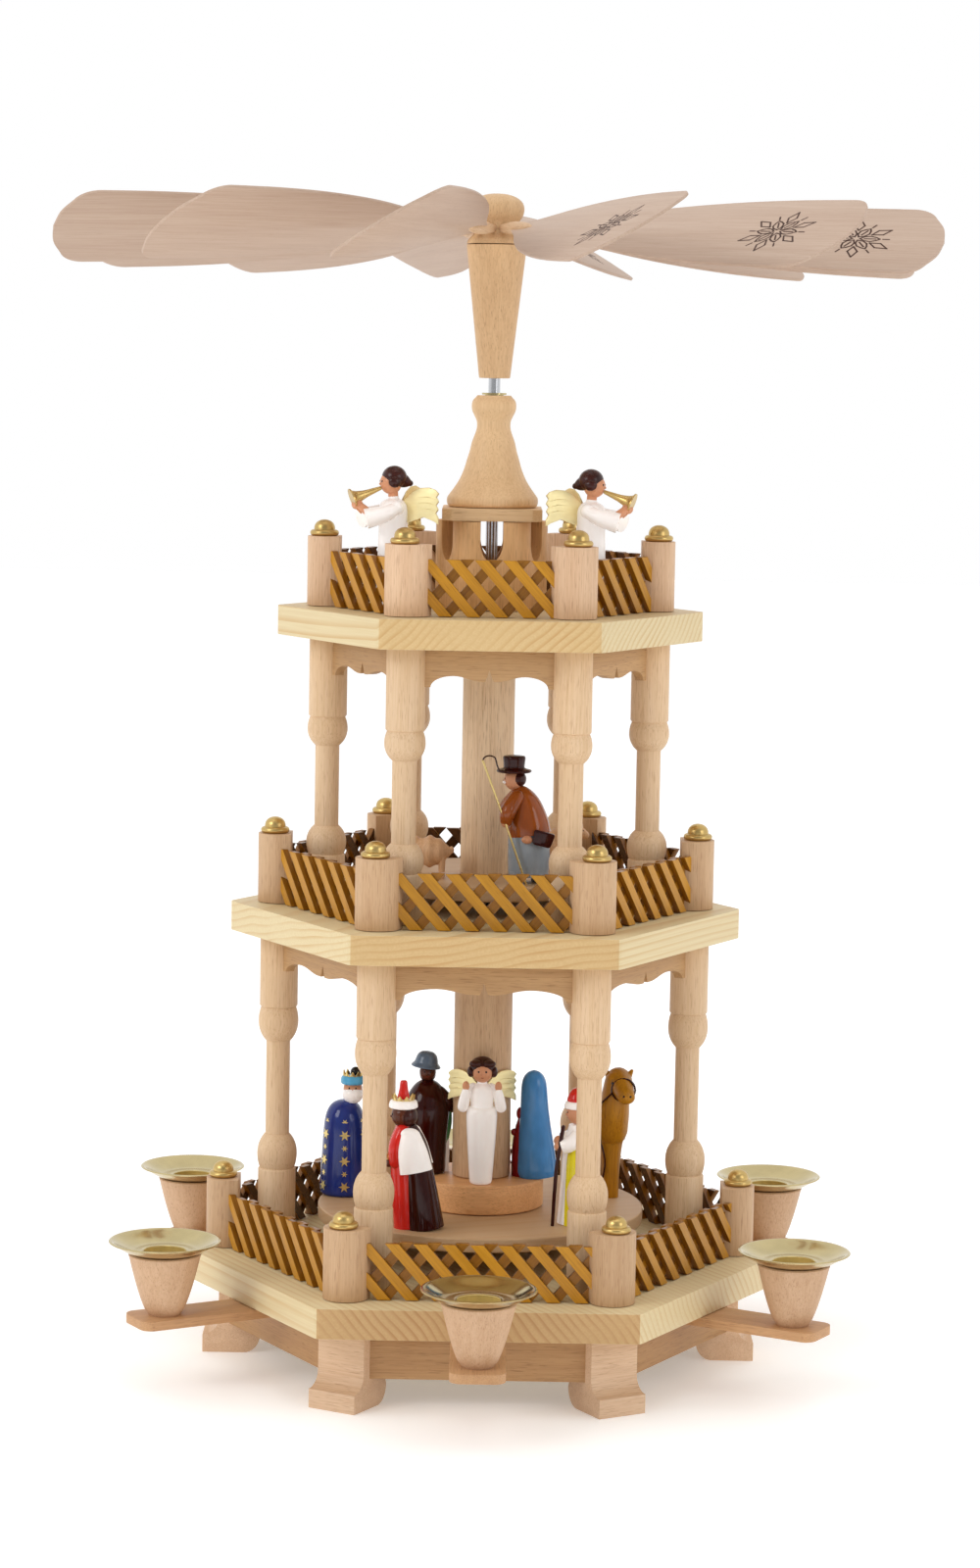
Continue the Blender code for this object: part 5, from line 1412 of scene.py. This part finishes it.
def wings(setback, thickness=0.014):
    """Two feathered plates that sweep back from behind the shoulders."""
    made = []
    for side in (-1, 1):
        back = shift(0.0, setback, 0.0) @ turn_z(side * WING_SWEEP)
        outline = [(side * x, y) for x, y in WING_SHARES]
        plate = upright(flat([outline], thickness, thickness * 0.2), thickness)
        made.append((placed(plate, back), WING_LEAF))
        for level in (0.70, 0.74, 0.78):
            path = [(0.16, 0.0), (0.24, 0.005), (0.31, -0.01)]
            rib = limb([(side * x, 0.0, level + rise) for x, rise in path], [0.001, 0.004, 0.002], 2, 8)
            for face in (-1, 1):
                lift = shift(0.0, face * thickness * 0.46, 0.0)
                made.append((placed(rib.copy(), back @ lift), WING_LEAF))
    return made


def hair(z, radius, forward=0.0, fringe=True):
    """A thick cap of hair with curls at the ears, and a parted fringe."""
    ear = (radius * 1.02, radius * 0.10 - forward, z - radius * 0.02)
    lock = (radius * 0.60, -radius * 0.42 - forward, z + radius * 0.78)
    rows = [(HAIR, ear, (radius * 0.34, radius * 0.56, radius * 0.50))]
    if fringe:
        rows.append((HAIR, lock, (radius * 0.58, radius * 0.50, radius * 0.34)))
    cap = blob((0.0, radius * 0.30 - forward, z + radius * 0.34), (radius * 1.16, radius * 1.08, radius))
    return [(cap, HAIR)] + mirrored(rows)


def dais_angel():
    shells = [(robe(ANGEL_ROBE_SHARES, 3), WHITE), (lathe(BODICE_SHARES), WHITE)]
    shells += head(0.868, 0.080, SKIN, 0.012) + hair(0.868, 0.086, 0.012)
    shells += mirrored([
        (WHITE, [(0.070, 0.0, 0.745), (0.120, -0.01, 0.69), (0.140, -0.03, 0.61)], [0.034, 0.038, 0.042]),
        (WHITE, [(0.145, -0.04, 0.60), (0.134, -0.06, 0.675), (0.126, -0.07, 0.725)], [0.043, 0.038, 0.029]),
        (SKIN, (0.124, -0.075, 0.765), (0.027, 0.020, 0.040)),
    ])
    shells += wings(0.035)
    stand("white_angel", "white_paint", "dais_angel", "dais", DAIS_ANGEL_SHARES, 0.0, shells)


def mary():
    levels = (0.0, 0.05, 0.16, 0.32, 0.48, 0.64, 0.76, 0.86, 0.93, 0.975, 0.995)
    sizes = (0.182, 0.192, 0.184, 0.166, 0.147, 0.132, 0.125, 0.117, 0.096, 0.056, 0.006)
    shells = shells_of([
        (SKY, [(0.045 * (1 - level) ** 1.5, 0.0, level) for level in levels], sizes, 4, 48, 1.0, False),
        (WINE, [(-0.045, 0.04, 0.0), (-0.065, 0.045, 0.25), (-0.062, 0.05, 0.45), (-0.030, 0.05, 0.66)],
         [0.150, 0.128, 0.100, 0.060], 3, 24, 1.0, False),
        (WINE, (-0.118, 0.02, 0.58), (0.040, 0.05, 0.060)),
        (WINE, (-0.175, 0.03, 0.40), (0.030, 0.03, 0.034)),
    ])
    stand("mary_in_blue", "sky_blue_paint", "mary", "dais", MARY_SHARES, 0.0, shells)


def joseph():
    shells = [(robe(JOSEPH_CLOAK_SHARES), BROWN)]
    shells += shells_of([
        (GREEN, [(0.125, 0.03, 0.25), (0.150, 0.03, 0.42), (0.140, 0.03, 0.60)], [0.052, 0.056, 0.05]),
        (WHITE, [(0.145, 0.03, 0.0), (0.150, 0.03, 0.27)], [0.040, 0.036], 3, 18, 1.0, False),
        (BROWN, [(0.10, -0.02, 0.66), (0.165, -0.01, 0.58), (0.185, 0.03, 0.52)], [0.055, 0.060, 0.042]),
    ])
    shells += head(0.825, 0.068, DARK_SKIN)
    brim = 0.88
    tilt = shift(-0.015, 0.0, brim) @ Matrix.Rotation(math.radians(7), 4, "Y") @ shift(0.0, 0.0, -brim)
    shells.append((placed(lathe(curved(HAT_SHARES, 3)), tilt), HAT_GREY))
    shells += shells_of([(HAIR, (0.0, 0.02, 0.80), (0.066, 0.07, 0.062))])
    stand("joseph_in_brown", "brown_paint", "joseph", "dais", JOSEPH_SHARES, 0.0, shells)


def child():
    profile = [(0.0, 0.74), (0.10, 0.72), (0.17, 0.62), (0.19, 0.40), (0.20, 0.10), (0.19, 0.0)]
    shells = [(robe(profile), WINE)] + head(0.84, 0.13, SKIN)
    shells += shells_of([(HAIR, (0.0, 0.04, 0.90), (0.14, 0.13, 0.11))])
    stand("small_child", "rust_brown_paint", "child", "dais", CHILD_PLACE_SHARES, 0.0, shells)


def reach_of(outline, level):
    """The radius of a turned outline at a height."""
    for (inner, top), (outer, low) in zip(outline, outline[1:]):
        if low <= level <= top:
            return inner + (outer - inner) * (top - level) / max(top - low, 1e-6)
    return outline[-1][0]


def king_blue():
    """A king in a starred gown, with a white beard and a crowned turban, his head to one side."""
    shells = [(robe(BLUE_GOWN_SHARES), NAVY)]
    for column in range(STAR_COLUMNS):
        angle = 2 * math.pi * column / STAR_COLUMNS + 0.05
        for i, level in enumerate((0.08, 0.18, 0.28, 0.38, 0.48, 0.58)):
            size = STAR_SIZES[i % 2]
            radius = reach_of(BLUE_GOWN_SHARES, level)
            shells.append((placed(sprig(size), on_side(angle, radius - size * 0.04, level, 0.10)), GOLD_LEAF))
    top = head(0.825, 0.072, SKIN)
    top += shells_of([
        (WHITE, (0.0, -0.02, 0.775), (0.080, 0.075, 0.070)),
        (WHITE, (0.0, 0.03, 0.81), (0.078, 0.065, 0.070)),
    ])
    turban = [(0.0, 0.930), (0.075, 0.925), (0.094, 0.895), (0.084, 0.860), (0.0, 0.855)]
    top += [(lathe(curved(turban)), TURBAN_BLUE), (crown(0.905, 0.070, 0.060), GOLD_LEAF)]
    top += shells_of([(BLACK, (0.02, 0.0, 0.955), (0.040, 0.040, 0.038))])
    shells += [(placed(mesh, shift(0.060, 0.0, 0.0)), look) for mesh, look in top]
    stand("blue_king", "blue_paint", "king_blue", "lower_turntable", BLUE_KING_SHARES, 0.0, shells)


def king_red():
    """A king who walks ahead of his long robe: red gown, white sleeves, dark brown train, crowned turban."""
    shells = shells_of([
        (BROWN, [(0.01, 0.010, 0.0), (0.01, -0.030, 0.30), (0.0, -0.070, 0.55), (0.0, -0.110, 0.69)],
         [0.134, 0.112, 0.092, 0.052], *LONG_ROBE),
        (RED, [(0.0, -0.098, 0.0), (0.0, -0.122, 0.30), (0.0, -0.135, 0.55), (0.0, -0.135, 0.70)],
         [0.102, 0.098, 0.096, 0.050], *LONG_ROBE),
    ])
    shells += mirrored([
        (WHITE, [(0.082, -0.100, 0.655), (0.104, -0.078, 0.54), (0.110, -0.050, 0.40)],
         [0.038, 0.056, 0.064], 5, 28, 1.75, False),
        (WHITE, (0.082, -0.100, 0.652), (0.040, 0.068, 0.040)),
        (RED, [(0.05, -0.15, 0.66), (0.06, -0.185, 0.55), (0.05, -0.185, 0.45)], [0.050, 0.056, 0.050]),
        (DARK_SKIN, (0.035, -0.235, 0.440), 0.028),
    ])
    shells += shells_of([(GOLD_LEAF, (0.0, -0.250, 0.465), (0.040, 0.036, 0.036))])
    ahead = 0.145
    shells += head(0.765, 0.080, DARK_SKIN, ahead)
    shells += shells_of([(HAIR, (0.0, 0.024 - ahead, 0.760), (0.084, 0.074, 0.078))])
    band = [(0.0, 0.875), (0.076, 0.870), (0.094, 0.848), (0.090, 0.815), (0.0, 0.808)]
    fez = [(0.0, 1.0), (0.022, 0.996), (0.030, 0.94), (0.040, 0.88), (0.0, 0.875)]
    shells.append(headgear(band, WHITE, ahead))
    shells.append((placed(crown(0.856, 0.070, 0.050), shift(0.0, -ahead, 0.0)), GOLD_LEAF))
    shells.append(headgear(fez, RED, ahead, 3))
    stand("red_king", "red_paint", "king_red", "lower_turntable", RED_KING_SHARES, -math.pi / 2, shells)


def king_yellow():
    """A king with a white cloak over a yellow gown, a staff and a red cap in a white band."""
    shells = shells_of([
        (WHITE, [(0.0, 0.060, 0.0), (0.0, 0.056, 0.30), (0.0, 0.050, 0.55), (0.0, 0.040, 0.72)],
         [0.152, 0.126, 0.104, 0.056], *LONG_ROBE),
        (YELLOW, [(0.060, 0.072, 0.0), (0.058, 0.060, 0.30), (0.052, 0.050, 0.52), (0.03, 0.048, 0.64)],
         [0.126, 0.100, 0.078, 0.045], *LONG_ROBE),
    ])
    shells += mirrored([
        (WHITE, [(0.08, 0.05, 0.655), (0.11, 0.0, 0.60), (0.10, -0.060, 0.575)],
         [0.050, 0.058, 0.060], 4, 24, 1.0, False),
        (SKIN, (0.10, -0.085, 0.575), 0.038),
    ])
    ahead = -0.040
    shells += head(0.800, 0.075, SKIN, ahead)
    shells += shells_of([(WHITE, (0.0, 0.03 - ahead, 0.79), (0.078, 0.066, 0.070))])
    band = [(0.0, 0.895), (0.070, 0.890), (0.090, 0.865), (0.084, 0.835), (0.0, 0.828)]
    cap = [(0.0, 0.985), (0.035, 0.975), (0.062, 0.935), (0.070, 0.885), (0.0, 0.88)]
    shells += [headgear(band, WHITE, ahead), headgear(cap, RED, ahead)]
    shells += shells_of([
        (BROWN, [(0.125, -0.125, 0.0), (0.125, -0.105, 0.40), (0.125, -0.060, 0.72)],
         [0.013, 0.015, 0.015], 2, 10),
    ])
    stand(
        "yellow_king", "yellow_paint", "king_yellow", "lower_turntable", YELLOW_KING_SHARES, -math.pi / 2,
        shells)


def camel():
    """A carved camel that faces the viewer: long neck, low head, hump behind, dark bridle."""
    shells = shells_of([(CAMEL_WOOD, *row) for row in (
        ([(0.0, 0.0, 0.0), (0.0, 0.0, 0.20), (0.0, 0.01, 0.40), (0.0, 0.02, 0.56)],
         [0.062, 0.066, 0.085, 0.125]),
        ((0.0, 0.09, 0.56), (0.125, 0.19, 0.16)),
        ([(0.0, 0.22, 0.0), (0.0, 0.22, 0.25), (0.0, 0.17, 0.48)], [0.055, 0.060, 0.11]),
        ([(0.0, 0.11, 0.60), (0.0, 0.13, 0.78), (0.0, 0.13, 0.84)], [0.11, 0.06, 0.03]),
        ([(0.0, 0.00, 0.52), (0.01, -0.04, 0.66), (0.02, -0.06, 0.80), (0.025, -0.07, 0.91)],
         [0.125, 0.122, 0.108, 0.092]),
        ([(0.045, -0.04, 0.915), (0.070, -0.14, 0.88), (0.095, -0.225, 0.835)], [0.106, 0.088, 0.070]),
        ((0.100, -0.245, 0.825), (0.066, 0.052, 0.054)),
    )])
    for side in (-1, 1):
        ear = [(side * 0.080 + 0.045, -0.03, 0.960), (side * 0.100 + 0.045, -0.02, 0.990)]
        shells += shells_of([
            (CAMEL_WOOD, ear, [0.026, 0.014]),
            (BLACK, (side * 0.074 + 0.072, -0.157, 0.915), (0.014, 0.018, 0.014)),
            (BLACK, (side * 0.026 + 0.104, -0.292, 0.838), 0.008),
        ])
    band = [
        (0.090 * math.cos(a) + 0.079, -0.175, 0.868 + 0.088 * math.sin(a))
        for a in angles(math.pi * 2, 12, 0, 12)]
    rein = [
        (-0.012, -0.18, 0.84), (-0.118, -0.10, 0.70), (-0.100, -0.085, 0.50), (-0.050, -0.075, 0.30),
        (-0.062, -0.06, 0.16)]
    shells += shells_of([(BROWN, band, [0.008] * 13, 2, 8), (BROWN, rein, [0.007] * 5, 3, 8)])
    stand("carved_camel", "ochre_stain", "camel", "lower_turntable", CAMEL_SHARES, 0.0, shells)


def shepherd():
    """A shepherd in a rust jacket and a dark hat, with a tall crook and a bag."""
    spine = ((0.095, 0.38), (0.080, 0.47), (0.050, 0.60), (0.005, 0.70), (-0.020, 0.745))
    jacket = [(0.0, y, level) for y, level in spine]
    shells = shells_of([
        (SLATE, [(0.0, 0.090, 0.05), (0.0, 0.092, 0.20), (0.0, 0.085, 0.44)],
         [0.150, 0.158, 0.150], 4, 32, 1.05, False),
        (RUST, jacket, [0.168, 0.162, 0.132, 0.086, 0.035], 4, 32, 1.0, False),
    ])
    for side in (-1, 1):
        leg = [(side * 0.06, 0.09 - side * 0.085, level) for level in (0.0, 0.10)]
        arm = [(side * 0.085, -0.01, 0.675), (side * 0.145, -0.075, 0.575), (side * 0.150, -0.090, 0.50)]
        shells += shells_of([
            (SLATE, leg, [0.062, 0.070], 2, 20, 1.0, False),
            (RUST, arm, [0.058, 0.066, 0.050]),
            (SKIN, (side * 0.155, -0.095, 0.480), 0.036),
        ])
    shells += shells_of([(SKIN, (0.165, 0.075, 0.352), (0.030, 0.044, 0.032))])
    ahead = 0.035
    shells += head(0.805, 0.078, SKIN, ahead)
    shells += shells_of([
        (HAIR, (0.0, 0.03 - ahead, 0.81), (0.080, 0.068, 0.066)),
        (WHITE, (0.0, -0.070 - ahead, 0.785), (0.045, 0.020, 0.014)),
    ])
    shells.append(headgear(SHEPHERD_HAT_SHARES, BROWN, ahead, 3))
    stick = [(0.195, 0.076, 0.0), (0.185, -0.095, 0.48), (0.165, -0.280, 0.965)]
    hook = [stick[-1]] + [
        (0.165, -0.228 - 0.052 * math.cos(angle), 0.965 + 0.040 * math.sin(angle))
        for angle in angles(math.pi, 6, 1, 5)]
    hook += [(0.165, -0.170, 0.935), (0.165, -0.150, 0.890)]
    shells += shells_of([(GOLD_LEAF, stick, [0.0085] * 3, 2, 10), (BROWN, hook, [0.006] * len(hook), 2, 8)])
    corners = [(-0.070, 0.0), (0.070, 0.0), (0.085, 0.115), (-0.085, 0.115)]
    bag = flat([rounded(corners, 0.02, 3, True)], 0.055, 0.008)
    hang = shift(0.130, 0.185, 0.305) @ Matrix.Rotation(math.radians(-14), 4, "X") @ turn_z(math.pi / 2)
    shells.append((placed(bag, hang @ Matrix.Rotation(math.pi / 2, 4, "X")), BROWN))
    stand(
        "shepherd_with_crook", "brown_paint", "shepherd", "middle_turntable", SHEPHERD_SHARES, -math.pi / 2,
        shells)


def sheep():
    """Two turned sheep, each along x before it is turned."""
    profile = [(0.0, 0.48)]
    for k in range(1, 40):
        share = k / 40
        swell = math.sin(math.pi * share) ** 0.75
        ridge = 1.0 + 0.06 * math.cos(2 * math.pi * share * 4)
        profile.append((0.33 * swell * ridge, 0.48 - 0.96 * share))
    profile.append((0.0, -0.48))
    for i, (shares, turn) in enumerate(zip(SHEEP_PLACE_SHARES, SHEEP_TURNS)):
        node = "sheep_%d" % (i + 1)
        body = placed(lathe(profile), shift(0.0, 0.0, 0.56) @ Matrix.Rotation(math.pi / 2, 4, "Y"))
        rows = [
            ([(0.30, 0.0, 0.66), (0.42, 0.0, 0.76), (0.50, 0.0, 0.82)], [0.20, 0.18, 0.15]),
            ([(0.46, 0.0, 0.84), (0.60, 0.0, 0.79), (0.70, 0.0, 0.74)], [0.15, 0.12, 0.085]),
        ]
        shells = [(body, SHEEP_WOOD)] + shells_of([(SHEEP_WOOD, *row) for row in rows])
        for side in (-1, 1):
            ear = [(0.44, side * 0.12, 0.90), (0.42, side * 0.20, 0.85)]
            shells += shells_of([(SHEEP_WOOD, ear, [0.045, 0.03]), (BLACK, (0.60, side * 0.10, 0.85), 0.018)])
            for x in (-0.26, 0.24):
                leg = [(x, side * 0.12, level) for level in (0.0, 0.25, 0.45)]
                shells.append((limb(leg, [0.055, 0.06, 0.08]), SHEEP_WOOD))
        shells += shells_of([(SHEEP_WOOD, (-0.46, 0.0, 0.60), (0.06, 0.05, 0.08))])
        stand("wooden_" + node, "ochre_stain", node, "middle_turntable", shares, turn, shells)


def trumpeters():
    """Two winged angels on the top board, each with a trumpet."""
    start = Vector((0.0, -0.090, 0.838))
    end = Vector((0.0, -0.288, 0.762))
    run = (end - start).normalized()
    pipe = [tuple(start.lerp(end, share)) for share in (0.0, 0.25, 0.55, 0.80, 0.92, 1.0)]
    rim = [tuple(end - run * 0.004), tuple(end + run * 0.006)]
    for i, angle in enumerate(TRUMPETER_ANGLES, 1):
        shells = [(robe(TRUMPETER_ROBE_SHARES, 3), WHITE)]
        shells += head(0.875, 0.076, SKIN, 0.020) + hair(0.885, 0.080, 0.020, False)
        shells += shells_of([
            (HAIR, [(0.0, 0.05, 0.895), (0.0, 0.090, 0.880), (0.0, 0.115, 0.872)], [0.055, 0.040, 0.022]),
            (SKIN, [(0.0, 0.0, 0.74), (0.0, -0.005, 0.83)], [0.036, 0.034]),
        ])
        shells += mirrored([
            (WHITE, [(0.078, 0.005, 0.700), (0.090, -0.085, 0.662), (0.072, -0.212, 0.628)],
             [0.058, 0.078, 0.094], 4, 28, 0.75, False),
            (WHITE, (0.078, 0.005, 0.702), (0.058, 0.050, 0.054)),
            (SKIN, [(0.066, -0.17, 0.655), (0.040, -0.240, 0.712)], [0.030, 0.027]),
            (SKIN, (0.028, -0.256, 0.724), (0.028, 0.034, 0.036)),
        ])
        shells += shells_of([
            (GILT, pipe, (0.013, 0.019, 0.027, 0.041, 0.054, 0.070), 4, 24, 1.0, False),
            (GILT, rim, [0.072, 0.074], 1, 24, 1.0, False),
        ])
        shells += wings(0.045)
        where = (TRUMPETER_CIRCLE * math.cos(angle), TRUMPETER_CIRCLE * math.sin(angle), TOP_TOP + FIT)
        turn = math.copysign(TRUMPETER_TURN, where[0])
        name = "angel_with_trumpet_%d" % i
        figure(name, "frame", "trumpet_angel_%d" % i, where, turn, shells)


def camera():
    """The camera that fits the photo's view."""
    data = bpy.data.cameras.new("camera")
    data.lens = CAMERA_LENS
    data.sensor_width = SENSOR
    made = linked("camera", data)
    pitch, yaw, roll = CAMERA_PITCH, CAMERA_YAW, CAMERA_ROLL
    ahead = Vector((math.sin(yaw) * math.cos(pitch), math.cos(yaw) * math.cos(pitch), math.sin(pitch)))
    right = Vector((math.cos(yaw), -math.sin(yaw), 0.0))
    up = right.cross(ahead)
    side = right * math.cos(roll) + up * math.sin(roll)
    top = up * math.cos(roll) - right * math.sin(roll)
    turn = Matrix((side, top, -ahead)).transposed().to_4x4()
    made.matrix_world = Matrix.Translation(Vector(CAMERA_PLACE)) @ turn
    bpy.context.scene.camera = made


def studio():
    """A pale floor, a soft sky and three lights."""
    shape = bmesh.new()
    bmesh.ops.create_grid(shape, x_segments=2, y_segments=2, size=FLOOR_SIZE / 2)
    mesh = mesh_of(shape, "floor")
    floor = linked("floor", mesh)
    pale, tree, surface = new_look("pale_floor")
    set_inputs(surface, {
        "Base Color": grey(0.95), "Roughness": 0.7, "Emission Color": grey(1.0),
        "Emission Strength": FLOOR_GLOW})
    mesh.materials.append(pale)
    world = bpy.data.worlds.new("studio")
    world.use_nodes = True
    tree = world.node_tree
    place = add(tree, "TexCoord")
    parts = add(tree, "SeparateXYZ", [(0, place.outputs["Generated"])])
    level = add(tree, "MapRange", [("Value", parts.outputs["Y"])], **{"From Min": -0.75, "From Max": 0.0})
    white = ramp(tree, level.outputs[0], [(0.0, grey(FRONT_GLOOM)), (1.0, grey(1.0))])
    sky = tree.nodes["Background"]
    tree.links.new(white, sky.inputs["Color"])
    sky.inputs["Strength"].default_value = 1.0
    bpy.context.scene.world = world
    aim = Vector(LIGHT_AIM)
    for name, place, size, power in LIGHTS:
        data = bpy.data.lights.new(name, "AREA")
        data.shape = "DISK"
        data.size = size
        data.energy = power
        made = linked(name, data)
        made.location = place
        made.rotation_euler = (aim - Vector(place)).to_track_quat("-Z", "Y").to_euler()


# The whole carousel, its camera and its studio
boards()
base_frame()
colonnade(
    "lower_columns", "lower_colonnade", BASE_TOP, MIDDLE_UNDER - BASE_TOP, LOWER_COLUMN_CIRCLE,
    LOWER_HEAD_LENGTH, LOWER_FOOT_LENGTH, LOWER_BALL_HEIGHT)
colonnade(
    "upper_columns", "upper_colonnade", MIDDLE_TOP, TOP_UNDER - MIDDLE_TOP, UPPER_COLUMN_CIRCLE,
    UPPER_HEAD_LENGTH, UPPER_FOOT_LENGTH, UPPER_BALL_HEIGHT)
fence("base_fence", "lower_fence", BASE_FENCE_CIRCLE, BASE_TOP, POST_WOOD)
fence("second_fence", "middle_fence", LOWER_COLUMN_CIRCLE, MIDDLE_TOP, POST_WOOD)
fence("third_fence", "upper_fence", UPPER_COLUMN_CIRCLE, TOP_TOP, BEECH)
candle_places()
turret()
shaft()
hub()
blades()
dais_angel()
mary()
joseph()
child()
king_blue()
king_red()
king_yellow()
camel()
shepherd()
sheep()
trumpeters()
camera()
studio()
bpy.data.collections.remove(scraps)
bpy.context.scene.view_settings.view_transform = "Standard"
